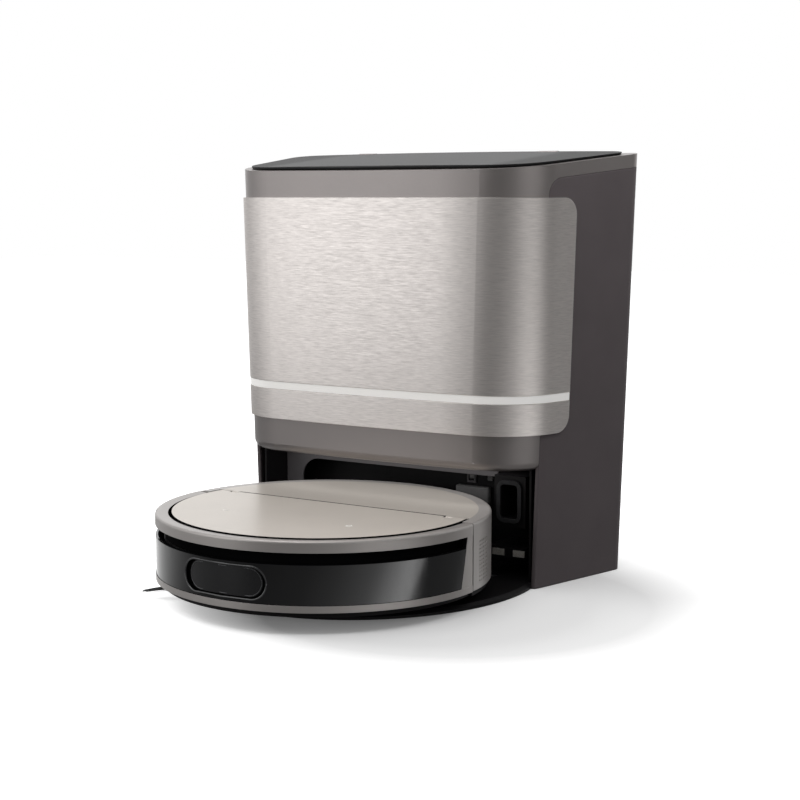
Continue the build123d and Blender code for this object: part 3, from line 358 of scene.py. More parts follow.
def diffuserWhite():
    # frosted light guide with a painted glow: its emission makes it brighter than the lamps light it
    mat, tree, shader = newFinish("frosted_light_guide")
    frost = noise(tree, objectCoords(tree), 0.0008, 2)
    tone = mixColour(tree, frost, lightGuide["dark"], lightGuide["pale"])
    tree.links.new(tone, shader.inputs["Base Color"])
    tree.links.new(spread(tree, frost, 0.3, 0.42), shader.inputs["Roughness"])
    shader.inputs["Emission Color"].default_value = (*lightGuide["glowColour"], 1)
    shader.inputs["Emission Strength"].default_value = lightGuide["paintedGlow"]
    return mat


robotFinish = {"silver": (0.385, 0.362, 0.348), "champagne": (0.57, 0.525, 0.475),
               "black": (0.005, 0.005, 0.0055), "slotLow": 0.0279, "slotHigh": 0.0787, "crownInner": 0.1616,
               "outerFace": 0.1741, "postY": -0.0145, "topFace": 0.0899, "deckLow": 0.0868,
               "deckRadius": 0.1606, "deckEdge": 0.0283, "knuckles": 0.1345, "lensFace": 0.1712,
               "silverMetal": 0.5, "champagneMetal": 0.2, "shellMetal": 0.3}


def axisCoords(tree):
    # distance from the upright axis of the frame, then y and z
    part = tree.nodes.new("ShaderNodeSeparateXYZ")
    coords = tree.nodes.new("ShaderNodeTexCoord")
    tree.links.new(coords.outputs["Object"], part.inputs[0])
    x, y, z = part.outputs
    radius = calc(tree, "SQRT", calc(tree, "ADD", calc(tree, "POWER", x, 2), calc(tree, "POWER", y, 2)))
    return radius, y, z


# black where the mask is 0: bare moulding in the bumper slot, and painted shade on the cover's edge, the
# deck's split edge and the crown's inner wall
def blackForBareAndShade(tree, shader, painted, tone, metal):
    tree.links.new(mixColour(tree, painted, robotFinish["black"], tone), shader.inputs["Base Color"])
    for name, level in (("Metallic", metal), ("Specular IOR Level", 0.5), ("Coat Weight", lacquerCoat)):
        tree.links.new(calc(tree, "MULTIPLY", painted, level), shader.inputs[name])


def bumperPaint():
    # silver crown, rim and end posts, bare black moulding in the slot, and painted shade: black on the
    # crown's inner wall, for the shaded gap round the cover
    mat, tree, shader, tone = metallicPaint("bumper_silver", robotFinish["silver"],
                                            metal=robotFinish["silverMetal"])
    radius, y, z = axisCoords(tree)
    below = calc(tree, "LESS_THAN", z, robotFinish["slotLow"])
    above = calc(tree, "GREATER_THAN", z, robotFinish["slotHigh"])
    # painted shade: the crown's inner wall is left black
    crown = calc(tree, "MULTIPLY", above, calc(tree, "GREATER_THAN", radius, robotFinish["crownInner"]))
    ends = calc(tree, "GREATER_THAN", y, robotFinish["postY"])
    outside = calc(tree, "GREATER_THAN", radius, robotFinish["outerFace"])
    posts = calc(tree, "MULTIPLY", ends, outside)
    painted = calc(tree, "MAXIMUM", calc(tree, "MAXIMUM", below, crown), posts)
    blackForBareAndShade(tree, shader, painted, tone, robotFinish["silverMetal"])
    return mat


def coverPaint():
    # champagne top face, with painted shade: its edge all round is black, for the shaded gap round the cover
    mat, tree, shader, tone = metallicPaint("champagne_cover_face", robotFinish["champagne"])
    z = axisCoords(tree)[2]
    # painted shade: everything below the top face is black
    top = calc(tree, "GREATER_THAN", z, robotFinish["topFace"])
    blackForBareAndShade(tree, shader, top, tone, robotFinish["champagneMetal"])
    return mat


def shellPaint():
    # champagne deck inside a silver shell, with painted shade: black on the edge that faces the cover, for
    # the dark split line
    mat, tree, shader, tone = metallicPaint("shell_silver", robotFinish["silver"],
                                            metal=robotFinish["silverMetal"])
    radius, y, z = axisCoords(tree)
    inside = calc(tree, "LESS_THAN", radius, robotFinish["deckRadius"])
    deck = calc(tree, "MULTIPLY", inside, calc(tree, "GREATER_THAN", z, robotFinish["deckLow"]))
    tone = mixColour(tree, deck, tone, robotFinish["champagne"])
    # painted shade: the deck's front edge in the split line is black
    between = calc(tree, "LESS_THAN", radius, robotFinish["knuckles"])
    edge = calc(tree, "MULTIPLY", between, calc(tree, "LESS_THAN", y, robotFinish["deckEdge"]))
    blackForBareAndShade(tree, shader, calc(tree, "SUBTRACT", 1, edge), tone, robotFinish["shellMetal"])
    return mat


# painted shade on the fascia: how dark it is, and the heights where it fades out below the steel panel
fasciaFinish = {"colour": (0.288, 0.264, 0.257), "shadeShare": 0.74, "shadeLowZ": 0.196, "shadeEndZ": 0.214}


def fasciaPaint():
    # warm grey lacquer, with painted shade: a darker tone on the trim below the steel panel
    mat, tree, shader, tone = metallicPaint("fascia_lacquer", fasciaFinish["colour"], 0.36, 0.75,
                                            lean=cornerEase["fasciaLean"])
    z = axisCoords(tree)[2]
    unshaded = spread(tree, z, 0, 1, fasciaFinish["shadeLowZ"], fasciaFinish["shadeEndZ"])
    # painted shade: the trim below the steel panel gets a darker copy of the lacquer
    dark = shade(fasciaFinish["colour"], fasciaFinish["shadeShare"])
    tree.links.new(mixColour(tree, unshaded, dark, tone), shader.inputs["Base Color"])
    return mat


def lensGlass():
    # glossy raised lens in a matt black groove
    mat, tree, shader = newFinish("sensor_lens_glass")
    radius = axisCoords(tree)[0]
    raised = calc(tree, "GREATER_THAN", radius, robotFinish["lensFace"])
    clouds = noise(tree, objectCoords(tree), 0.02, 3)
    face = mixColour(tree, clouds, (0.008, 0.008, 0.009), (0.012, 0.012, 0.013))
    tree.links.new(mixColour(tree, raised, (0.002, 0.002, 0.002), face), shader.inputs["Base Color"])
    tree.links.new(spread(tree, raised, 0.8, 0.16, 0, 1), shader.inputs["Roughness"])
    tree.links.new(calc(tree, "MULTIPLY", raised, 0.55), shader.inputs["Specular IOR Level"])
    return mat


finishes["lid_plastic"] = lidPlastic()
finishes["light_diffuser"] = diffuserWhite()
finishes["champagne_cover"] = metallicPaint("champagne_lacquer", robotFinish["champagne"],
                                            metal=robotFinish["champagneMetal"])[0]
finishes["silver_paint"] = metallicPaint("robot_silver", robotFinish["silver"],
                                         metal=robotFinish["silverMetal"])[0]
markWhiteGlow = mouldedPlastic("mark_white_painted_glow", (0.9, 0.9, 0.88), 0.5)
markInputs = markWhiteGlow.node_tree.nodes["Principled BSDF"].inputs
# painted glow: emission makes the printed key marks brighter than the lamps light them
markInputs["Emission Color"].default_value = (1, 1, 1, 1)
markInputs["Emission Strength"].default_value = 0.2
# near-black matt finish: painted shade on the lidar slot liner, and the dark seam round the dust box lid
shadeAndSeamBlack = mouldedPlastic("slot_shade_and_seam_black", (0.004, 0.004, 0.0042), 0.9, specular=0.02)
bezelGloss = glossyPanel("bezel_gloss", (0.02, 0.02, 0.022), 0.16, 0.8)
ringGrey = metallicPaint("ring_grey", (0.09, 0.09, 0.095), 0.4, 0.6)[0]
bayGrey = mouldedPlastic("bay_grey", (0.085, 0.08, 0.083), 0.5, specular=0.2)
blockGrey = mouldedPlastic("block_grey", (0.13, 0.127, 0.127), 0.5, specular=0.2)
# the cover's hinge pins get near-black metal as painted shade in the cover's notches
ownFinish = {"bumper_frame": bumperPaint(), "front_cover": coverPaint(), "rear_shell": shellPaint(),
             "port_block": finishes["black_plastic"], "front_fascia": fasciaPaint(),
             "charge_contacts": metallicPaint("contact_plate", (0.5, 0.485, 0.45), 0.3, 0.5)[0],
             "sensor_lens": lensGlass(), "cover_hinge_pins": barMetal("pin_painted_dark", (0.06, 0.06, 0.063), 0.4)}
slotOfNode = {part["node"]: part["material_slot"] for part in frame["record"]["subparts"]}


def dress(obj, mat):
    obj.data.materials.clear()
    obj.data.materials.append(mat)


for nodeName, nodeObject in nodes.items():
    dress(nodeObject, ownFinish.get(nodeName) or finishes[slotOfNode[nodeName]])
print("finishes on", len(nodes), "nodes")


# modelling helpers

def clearSelection():
    if bpy.context.object and bpy.context.object.mode != "OBJECT":
        bpy.ops.object.mode_set(mode="OBJECT")
    bpy.ops.object.select_all(action="DESELECT")


def pick(obj):
    clearSelection()
    obj.select_set(True)
    bpy.context.view_layer.objects.active = obj


def addModifier(obj, kind, **values):
    mod = obj.modifiers.new(kind.lower(), kind)
    for key, value in values.items():
        setattr(mod, key, value)
    pick(obj)
    bpy.ops.object.modifier_apply(modifier=mod.name)


def finishPiece(obj, name, body, slot, mat=None, angle=35):
    # place goes into the mesh, then the piece rides on its body
    pick(obj)
    bpy.ops.object.transform_apply(location=True, rotation=True, scale=True)
    bpy.ops.object.shade_smooth_by_angle(angle=math.radians(angle))
    obj.name = name
    obj.data.name = name
    dress(obj, mat or finishes[slot])
    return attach(obj, body)


def selectFaces(obj, wanted):
    # edit mode with only the wanted faces selected
    pick(obj)
    bpy.ops.object.mode_set(mode="EDIT")
    bpy.ops.mesh.select_mode(type="FACE")
    bpy.ops.mesh.select_all(action="DESELECT")
    bpy.ops.object.mode_set(mode="OBJECT")
    for face in obj.data.polygons:
        face.select = wanted(face)
    bpy.ops.object.mode_set(mode="EDIT")


def wireMesh(paths, radius, sides=0, closed=False, kind="POLY", taper=None):
    # one curve object with a round section along each path, made a mesh
    curve = bpy.data.curves.new("wire", "CURVE")
    curve.dimensions = "3D"
    curve.bevel_depth = radius
    curve.bevel_resolution = sides
    curve.resolution_u = 4
    curve.use_fill_caps = True
    for path in paths:
        spline = curve.splines.new(kind)
        spline.points.add(len(path) - 1)
        for number, (point, place) in enumerate(zip(spline.points, path)):
            point.co = (*place, 1)
            if taper:
                point.radius = taper[number]
        spline.use_cyclic_u = closed
        if kind == "NURBS":
            spline.order_u = 3
            spline.use_endpoint_u = True
    obj = bpy.data.objects.new("wire", curve)
    bpy.context.scene.collection.objects.link(obj)
    pick(obj)
    bpy.ops.object.convert(target="MESH")
    return bpy.context.object


def join(parts):
    pick(parts[0])
    for part in parts:
        part.select_set(True)
    bpy.ops.object.join()
    return bpy.context.object


# robot: bristles of the side brush

bristles = {"x": -0.099985, "y": -0.099985, "hubRadius": 0.0134, "sweep": 0.05, "tufts": 3, "first": 194,
            "perTuft": 60, "rootLow": 0.0091, "rootHigh": 0.0127, "tipLow": 0.0067, "tipHigh": 0.0092,
            "fan": 13, "bend": 0.22, "radius": 0.00022, "edgeShort": 0.1, "ragged": 0.07, "tipSpread": 0.55,
            "rootFan": 0.33, "droop": 1.3, "along": (0, 0.35, 0.7, 1), "taper": (1, 1, 0.9, 0.55)}
brushCollar = {"inset": 0.0008, "radius": 0.0012, "z": 0.0108, "tall": 1.7}


def sideBristles():
    random.seed(7)
    paths = []
    for tuft in range(bristles["tufts"]):
        middle = math.radians(bristles["first"] + 360 / bristles["tufts"] * tuft)
        for strand in range(bristles["perTuft"]):
            across = random.uniform(-1, 1)
            height = random.random()
            lean = math.radians(bristles["fan"] / 2) * across
            reach = bristles["sweep"] * (1 - bristles["edgeShort"] * across ** 2
                                         - random.uniform(0, bristles["ragged"]))
            rootZ = bristles["rootLow"] + (bristles["rootHigh"] - bristles["rootLow"]) * height
            tipRise = height * random.uniform(bristles["tipSpread"], 1)
            tipZ = bristles["tipLow"] + (bristles["tipHigh"] - bristles["tipLow"]) * tipRise
            path = []
            for share in bristles["along"]:
                radius = bristles["hubRadius"] + (reach - bristles["hubRadius"]) * share
                fanned = bristles["rootFan"] * across * (1 - share) + lean * share
                turn = middle + fanned + bristles["bend"] * share ** 2
                x = bristles["x"] + radius * math.cos(turn)
                y = bristles["y"] + radius * math.sin(turn)
                path.append((x, y, rootZ + (tipZ - rootZ) * (share ** bristles["droop"])))
            paths.append(path)
    obj = wireMesh(paths, bristles["radius"], 0, kind="NURBS", taper=bristles["taper"])
    bpy.ops.mesh.primitive_torus_add(major_radius=bristles["hubRadius"] - brushCollar["inset"],
                                     minor_radius=brushCollar["radius"], major_segments=48, minor_segments=10,
                                     location=(bristles["x"], bristles["y"], brushCollar["z"]))
    collar = bpy.context.object
    collar.scale = (1, 1, brushCollar["tall"])
    piece = finishPiece(join([obj, collar]), "side_brush_tufts", "side_brush", "bristle_nylon")
    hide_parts("side_brush_bristles")


sideBristles()
print("side brush done")


# robot: mop pads

mopPad = {"x": 0.066, "y": 0.084, "radius": 0.0593, "low": 0.0069, "high": 0.0103, "voxel": 0.0013,
          "pile": 0.0011, "hem": 0.0016, "swell": 0.0002, "backing": 0.0006, "loop": 0.0034}


def mopPads():
    for word, side in (("left", -1), ("right", 1)):
        clearSelection()
        middle = (mopPad["low"] + mopPad["high"]) / 2
        thick = mopPad["high"] - mopPad["low"]
        bpy.ops.mesh.primitive_cylinder_add(vertices=96, radius=mopPad["radius"], depth=thick,
                                            location=(side * mopPad["x"], mopPad["y"], middle))
        pad = bpy.context.object
        selectFaces(pad, lambda face: face.normal.z < -0.9)
        bpy.ops.mesh.inset(thickness=mopPad["hem"])
        bpy.ops.transform.translate(value=(0, 0, -mopPad["swell"]))
        bpy.ops.object.mode_set(mode="OBJECT")
        bpy.ops.object.transform_apply(location=True, rotation=True, scale=True)
        addModifier(pad, "REMESH", mode="VOXEL", voxel_size=mopPad["voxel"])
        pile = pad.vertex_groups.new(name="pile")
        top = mopPad["high"] - mopPad["backing"]
        pile.add([v.index for v in pad.data.vertices if v.co.z < top], 1, "REPLACE")
        loops = bpy.data.textures.new("mop_loops", "VORONOI")
        loops.noise_scale = mopPad["loop"]
        addModifier(pad, "DISPLACE", texture=loops, texture_coords="LOCAL", strength=mopPad["pile"],
                    mid_level=0.6, vertex_group="pile")
        piece = finishPiece(pad, "mop_fleece_" + word, "mop_" + word, "mop_fleece", angle=80)
        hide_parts("mop_pad_" + word)


mopPads()
print("mop pads done")


# station: dust bag

dustBag = {"x": (-0.028, 0.11), "y": (0.098, 0.198), "z": (0.1367, 0.234), "corner": 0.02, "crease": 0.004,
           "voxel": 0.004, "fold": 0.03, "base": 0.006}
bagCollar = {"x": (0.02, 0.062), "y": (0.1, 0.16), "z": (0.2305, 0.2325), "edge": 0.0008}


def boxMesh(x, y, z):
    clearSelection()
    bpy.ops.mesh.primitive_cube_add(size=1, location=(sum(x) / 2, sum(y) / 2, sum(z) / 2))
    obj = bpy.context.object
    obj.scale = (x[1] - x[0], y[1] - y[0], z[1] - z[0])
    bpy.ops.object.transform_apply(location=True, rotation=True, scale=True)
    return obj


def bevelBox(x, y, z, width, segments=3):
    obj = boxMesh(x, y, z)
    addModifier(obj, "BEVEL", width=width, segments=segments, limit_method="NONE")
    return obj


def stationBag():
    bag = bevelBox(dustBag["x"], dustBag["y"], dustBag["z"], dustBag["corner"], 4)
    addModifier(bag, "REMESH", mode="VOXEL", voxel_size=dustBag["voxel"])
    folds = bpy.data.textures.new("bag_folds", "CLOUDS")
    folds.noise_scale = dustBag["fold"]
    slack = bag.vertex_groups.new(name="slack")
    low = dustBag["z"][0] + dustBag["base"]
    slack.add([v.index for v in bag.data.vertices if v.co.z > low], 1, "REPLACE")
    addModifier(bag, "DISPLACE", texture=folds, texture_coords="LOCAL", strength=2 * dustBag["crease"],
                mid_level=1.0, vertex_group="slack")
    addModifier(bag, "SUBSURF", levels=1, render_levels=1)
    piece = finishPiece(bag, "dust_bag_fleece", "station", "bag_fleece", angle=70)
    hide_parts("dust_bag")
    collar = bevelBox(bagCollar["x"], bagCollar["y"], bagCollar["z"], bagCollar["edge"], 2)
    finishPiece(collar, "dust_bag_collar", "station", "white_plastic")


stationBag()
print("dust bag done")


# robot: pleated filter of the dust box

pleats = {"x": (-0.0655, 0.0655), "y": (0.0122, 0.0178), "z": (0.0541, 0.0776), "count": 44, "paper": 0.0003,
          "gap": 0.0003}


def pleatedFilter():
    points = []
    for fold in range(pleats["count"] + 1):
        x = pleats["x"][0] + (pleats["x"][1] - pleats["x"][0]) * fold / pleats["count"]
        inwards = pleats["gap"] if fold % 2 == 0 else -pleats["gap"]
        points.append((x, pleats["y"][fold % 2] + inwards, pleats["z"][0]))
    paper = wireMesh([points], 0)
    bpy.ops.object.mode_set(mode="EDIT")
    bpy.ops.mesh.select_mode(type="VERT")
    bpy.ops.mesh.select_all(action="SELECT")
    rise = (0, 0, pleats["z"][1] - pleats["z"][0])
    bpy.ops.mesh.extrude_region_move(TRANSFORM_OT_translate={"value": rise})
    bpy.ops.mesh.select_all(action="SELECT")
    bpy.ops.mesh.normals_make_consistent(inside=False)
    bpy.ops.object.mode_set(mode="OBJECT")
    addModifier(paper, "SOLIDIFY", thickness=pleats["paper"], offset=0)
    piece = finishPiece(paper, "pleated_filter", "robot", "filter_paper", angle=20)
    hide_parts("dust_filter")


pleatedFilter()
print("filter done")


# bumper: a near-black liner behind the lidar slot as painted shade, beads round the sensor window

slotLiner = {"radius": 0.1648, "low": 0.0658, "high": 0.0858, "wall": 0.0008, "endY": 0.004}
lensBead = {"width": 0.0983, "height": 0.0325, "z": 0.0475, "radius": 0.1743, "wire": 0.001, "points": 160}
lensRing = {"width": 0.0858, "height": 0.0268, "z": 0.0475, "radius": 0.1714, "wire": 0.0004, "points": 160}


def lidarSlotLiner():
    clearSelection()
    depth = slotLiner["high"] - slotLiner["low"]
    bpy.ops.mesh.primitive_cylinder_add(vertices=256, radius=slotLiner["radius"], depth=depth,
                                        end_fill_type="NOTHING",
                                        location=(0, 0, slotLiner["low"] + depth / 2))
    liner = bpy.context.object
    bpy.ops.object.transform_apply(location=True, rotation=True, scale=True)
    bpy.ops.object.mode_set(mode="EDIT")
    bpy.ops.mesh.select_all(action="SELECT")
    bpy.ops.mesh.bisect(plane_co=(0, slotLiner["endY"], 0), plane_no=(0, 1, 0), clear_outer=True)
    bpy.ops.object.mode_set(mode="OBJECT")
    addModifier(liner, "SOLIDIFY", thickness=slotLiner["wall"], offset=-1)
    # painted shade: a near-black sheet behind the lidar slot
    finishPiece(liner, "lidar_slot_liner", "bumper", "smoked_window", shadeAndSeamBlack)


def pillPath(spec):
    # a pill outline laid round the bumper's curve
    path = []
    half = (spec["width"] - spec["height"]) / 2
    tall = spec["height"] / 2
    for number in range(spec["points"]):
        turn = 2 * math.pi * number / spec["points"]
        flat = math.copysign(half, math.cos(turn)) if abs(math.cos(turn)) > 1e-9 else 0
        x = flat + tall * math.cos(turn)
        z = spec["z"] + tall * math.sin(turn)
        path.append((x, -math.sqrt(spec["radius"] ** 2 - x ** 2), z))
    return path


def sensorBeads():
    outer = wireMesh([pillPath(lensBead)], lensBead["wire"], 2, closed=True)
    finishPiece(outer, "sensor_bezel_bead", "bumper", "smoked_window", bezelGloss, 60)
    inner = wireMesh([pillPath(lensRing)], lensRing["wire"], 2, closed=True)
    finishPiece(inner, "sensor_lens_ring", "bumper", "silver_paint", ringGrey, 60)


lidarSlotLiner()
sensorBeads()
print("bumper trim done")


# robot: screws in the deck and the underside, handle, latch and lid seam of the dust box

screwHead = {"radius": 0.0028, "height": 0.0011, "rim": 0.0012, "socket": 0.0006, "sides": 20}
deckScrews = {"z": 0.0649, "turn": 0,
              "spots": [(-0.12, -0.08), (0.12, -0.08), (-0.06, -0.1), (0.06, -0.1), (-0.09, 0.01),
                        (0.09, 0.01)]}
underScrews = {"z": 0.0151, "turn": 180,
               "spots": [(-0.05, -0.09), (0.05, -0.09), (-0.03, 0.02), (0.03, 0.02), (0, 0.14)]}
boxTrim = {"top": 0.08, "seamX": (-0.0635, 0.0635), "seamY": (-0.0655, 0.0135), "seam": 0.0005,
           "latchX": (-0.009, 0.009), "latchY": (-0.0625, -0.0535), "latchHigh": 0.0018, "latchEdge": 0.0007,
           "handle": [(-0.026, 0.008), (-0.026, -0.012), (-0.026, -0.026), (-0.013, -0.026), (0.013, -0.026),
                      (0.026, -0.026), (0.026, -0.012), (0.026, 0.008)],
           "rod": 0.0015, "rodLift": 0.8, "latchSunk": 0.0004}


def screws():
    clearSelection()
    bpy.ops.mesh.primitive_cylinder_add(vertices=screwHead["sides"], radius=screwHead["radius"],
                                        depth=screwHead["height"], location=(0, 0, screwHead["height"] / 2))
    head = bpy.context.object
    bpy.ops.object.transform_apply(location=True, rotation=True, scale=True)
    selectFaces(head, lambda face: face.normal.z > 0.9)
    bpy.ops.mesh.inset(thickness=screwHead["rim"])
    bpy.ops.mesh.extrude_region_move(TRANSFORM_OT_translate={"value": (0, 0, -screwHead["socket"])})
    bpy.ops.object.mode_set(mode="OBJECT")
    for name, spec in (("deck_screws", deckScrews), ("chassis_screws", underScrews)):
        heads = []
        for x, y in spec["spots"]:
            copy = bpy.data.objects.new("screw", head.data.copy())
            bpy.context.scene.collection.objects.link(copy)
            copy.location = (x, y, spec["z"])
            copy.rotation_euler = (math.radians(spec["turn"]), 0, 0)
            heads.append(copy)
        finishPiece(join(heads), name, "robot", "pin_steel")
    bpy.data.objects.remove(head)


def dustBoxTrim():
    top = boxTrim["top"]
    (left, right), (front, back) = boxTrim["seamX"], boxTrim["seamY"]
    outline = [(left, front, top), (right, front, top), (right, back, top), (left, back, top)]
    seam = wireMesh([outline], boxTrim["seam"], 1, closed=True)
    finishPiece(seam, "dust_box_seam", "robot", "black_plastic", shadeAndSeamBlack)
    rod = boxTrim["rod"]
    rodZ = top + boxTrim["rodLift"] * rod
    handle = wireMesh([[(x, y, rodZ) for x, y in boxTrim["handle"]]], rod, 3, kind="NURBS")
    finishPiece(handle, "dust_box_handle", "robot", "dark_grey_plastic", blockGrey, 60)
    latchZ = (top - boxTrim["latchSunk"], top + boxTrim["latchHigh"])
    latch = bevelBox(boxTrim["latchX"], boxTrim["latchY"], latchZ, boxTrim["latchEdge"], 2)
    finishPiece(latch, "dust_box_latch", "robot", "dark_grey_plastic", blockGrey)


screws()
dustBoxTrim()
print("screws and dust box trim done")


# robot cover: marks on the two keys

keyMarks = {"x": 0.077, "y": -0.068, "z": 0.09002, "wire": 0.00022, "ring": 0.0028, "arcFrom": 125,
            "arcSweep": 290, "arcSteps": 24, "barLow": 0.0004, "barHigh": 1.25}


def printedMarks():
    size = keyMarks["ring"]
    z = keyMarks["z"]
    arc = []
    for number in range(keyMarks["arcSteps"] + 1):
        turn = math.radians(keyMarks["arcFrom"] + keyMarks["arcSweep"] * number / keyMarks["arcSteps"])
        arc.append((-keyMarks["x"] + size * math.cos(turn), keyMarks["y"] + size * math.sin(turn), z))
    bar = [(-keyMarks["x"], keyMarks["y"] + keyMarks["barLow"], z),
           (-keyMarks["x"], keyMarks["y"] + keyMarks["barHigh"] * size, z)]
    power = wireMesh([arc, bar], keyMarks["wire"], 1)
    finishPiece(power, "power_mark", "power_key", "white_plastic", markWhiteGlow, 60)
    roof = [(-1.25, 0.1), (0, 1.2), (1.25, 0.1)]
    walls = [(-0.85, 0.2), (-0.85, -1.1), (0.85, -1.1), (0.85, 0.2)]
    paths = []
    for outline in (roof, walls):
        paths.append([(keyMarks["x"] + size * u, keyMarks["y"] + size * v, z) for u, v in outline])
    home = wireMesh(paths, keyMarks["wire"], 1)
    finishPiece(home, "home_mark", "home_key", "white_plastic", markWhiteGlow, 60)


printedMarks()
print("key marks done")


# station: frame and fittings at the back of the bay, pins of the mains inlet

bayFrame = {"left": -0.1715, "right": 0.112, "low": 0.0065, "high": 0.1335, "openLeft": -0.149,
            "openTop": 0.108, "corner": 0.022, "cornerSteps": 12, "y": 0.171, "half": 0.0009}
bayBlock = {"x": (0.043, 0.0855), "y": (0.196, 0.2049), "z": (0.066, 0.0895), "edge": 0.002}
bayEye = {"x": (0.0542, 0.0659), "y": (0.2026, 0.2049), "z": (0.0921, 0.1036), "edge": 0.0006, "rim": 0.0018,
          "sunk": 0.0012, "faceArea": 0.00005}
bayBar = {"x": (0.0812, 0.0877), "y": (0.2016, 0.2049), "z": (0.0964, 0.1071), "edge": 0.0008}
inletPins = {"x": (0.0857, 0.0943), "y": 0.266, "z": 0.04, "radius": 0.0013, "length": 0.0106}


def bayTrim():
    corner = bayFrame["corner"]
    outline = [(bayFrame["left"], bayFrame["low"]), (bayFrame["left"], bayFrame["high"]),
               (bayFrame["right"], bayFrame["high"]), (bayFrame["right"], bayFrame["openTop"])]
    for number in range(bayFrame["cornerSteps"] + 1):
        turn = math.radians(90 + 90 * number / bayFrame["cornerSteps"])
        outline.append((bayFrame["openLeft"] + corner + corner * math.cos(turn),
                        bayFrame["openTop"] - corner + corner * math.sin(turn)))
    outline.append((bayFrame["openLeft"], bayFrame["low"]))
    curve = bpy.data.curves.new("frame", "CURVE")
    curve.dimensions = "2D"
    curve.fill_mode = "BOTH"
    curve.extrude = bayFrame["half"]
    spline = curve.splines.new("POLY")
    spline.points.add(len(outline) - 1)
    for point, (x, z) in zip(spline.points, outline):
        point.co = (x, z, 0, 1)
    spline.use_cyclic_u = True
    obj = bpy.data.objects.new("frame", curve)
    bpy.context.scene.collection.objects.link(obj)
    pick(obj)
    bpy.ops.object.convert(target="MESH")
    plate = bpy.context.object
    plate.rotation_euler = (math.radians(90), 0, 0)
    plate.location = (0, bayFrame["y"], 0)
    finishPiece(plate, "bay_frame", "station", "dark_grey_plastic", bayGrey)
    block = bevelBox(bayBlock["x"], bayBlock["y"], bayBlock["z"], bayBlock["edge"])
    finishPiece(block, "bay_block", "station", "dark_grey_plastic", blockGrey)
    bar = bevelBox(bayBar["x"], bayBar["y"], bayBar["z"], bayBar["edge"])
    finishPiece(bar, "bay_bar", "station", "dark_grey_plastic", blockGrey)
    eye = bevelBox(bayEye["x"], bayEye["y"], bayEye["z"], bayEye["edge"], 2)
    selectFaces(eye, lambda face: face.normal.y < -0.99 and face.area > bayEye["faceArea"])
    bpy.ops.mesh.inset(thickness=bayEye["rim"])
    bpy.ops.mesh.extrude_region_move(TRANSFORM_OT_translate={"value": (0, bayEye["sunk"], 0)})
    bpy.ops.object.mode_set(mode="OBJECT")
    glass = [face.index for face in eye.data.polygons if face.select]
    piece = finishPiece(eye, "bay_eye", "station", "smoked_window", bayGrey)
    piece.data.materials.append(finishes["smoked_window"])
    for index in glass:
        piece.data.polygons[index].material_index = 1


def mainsPins():
    pins = []
    for x in inletPins["x"]:
        clearSelection()
        bpy.ops.mesh.primitive_cylinder_add(vertices=24, radius=inletPins["radius"],
                                            depth=inletPins["length"],
                                            location=(x, inletPins["y"], inletPins["z"]),
                                            rotation=(math.radians(90), 0, 0))
        pins.append(bpy.context.object)
    finishPiece(join(pins), "inlet_pins", "station", "contact_metal")


bayTrim()
mainsPins()
print("bay trim done")


# stage, light and camera

studio = {"floorColour": (0.86, 0.86, 0.86), "floorSize": 14, "floorDrop": 0.0002, "floorLift": 0.1,
          "fadeFrom": 0.2, "fadeTo": 0.37, "fadeCentre": (0.14, 0.03, 0), "ambientLow": 0.04,
          "ambientHigh": 0.4, "ambientSpan": 0.3, "peak": 2.3, "dimShare": 0.2, "dimSine": -0.155,
          "fullSine": -0.115, "lowSine": -0.2, "lowTilt": -7.0, "tiltFrom": 0.21, "lowDark": 0.05,
          "lowPeak": 4.0, "darkSine": -0.33, "litSine": -0.27, "floorMirror": 0.4, "floorSine": -0.5,
          "floorEnd": -0.36}
# only the top light shows in polished faces
lamps = [
    {"name": "key_left", "place": (-1.65, -0.25, 1.2), "aim": (0.02, 0.05, 0.2),
     "size": (0.8, 0.7), "power": 18, "mirrored": False},
    {"name": "front_low", "place": (0.0, -2.1, 0.62), "aim": (0.02, 0.05, 0.2),
     "size": (1.2, 0.4), "power": 6, "mirrored": False},
    {"name": "fill_right", "place": (0.7, 0.1, 0.85), "aim": (0.2, 0.2, 0.4),
     "size": (0.3, 0.3), "power": 2.2, "mirrored": False},
    {"name": "bay_soft", "place": (0.0, 0.128, 0.1262), "aim": (0.0, 0.128, 0.0),
     "size": (0.3, 0.08), "power": 0.1, "mirrored": False},
    {"name": "top_soft", "place": (-0.2, -0.5, 1.9), "aim": (0.02, 0.05, 0.2),
     "size": (1.4, 1.0), "power": 7.5, "mirrored": True},
]
# what polished faces see round the studio: degrees from the front towards +X, then brightness
surround = [(-180, 0.42), (-160, 0.44), (-142, 0.48), (-132, 0.5), (-115, 0.32), (-95, 0.22), (-74, 0.36),
            (-55, 0.59), (-42, 0.65), (-31, 1.0), (-25, 0.8), (-15, 0.095), (25, 0.058), (45, 0.12),
            (58, 0.28), (85, 0.26), (98, 0.055), (125, 0.05), (150, 0.35), (180, 0.42)]
lowSurround = [(-180, 0.32), (-125, 0.3), (-95, 0.22), (-70, 0.12), (-45, 0.05), (0, 0.045), (30, 0.065),
               (50, 0.12), (75, 0.27), (97, 1.0), (105, 1.0), (107, 0.06), (140, 0.06), (180, 0.32)]
photoCamera = {"place": (0.9844, -1.4103, 0.4131), "turn": (83.02, 0.0, 32.29), "lens": 75.31, "sensor": 36.0}


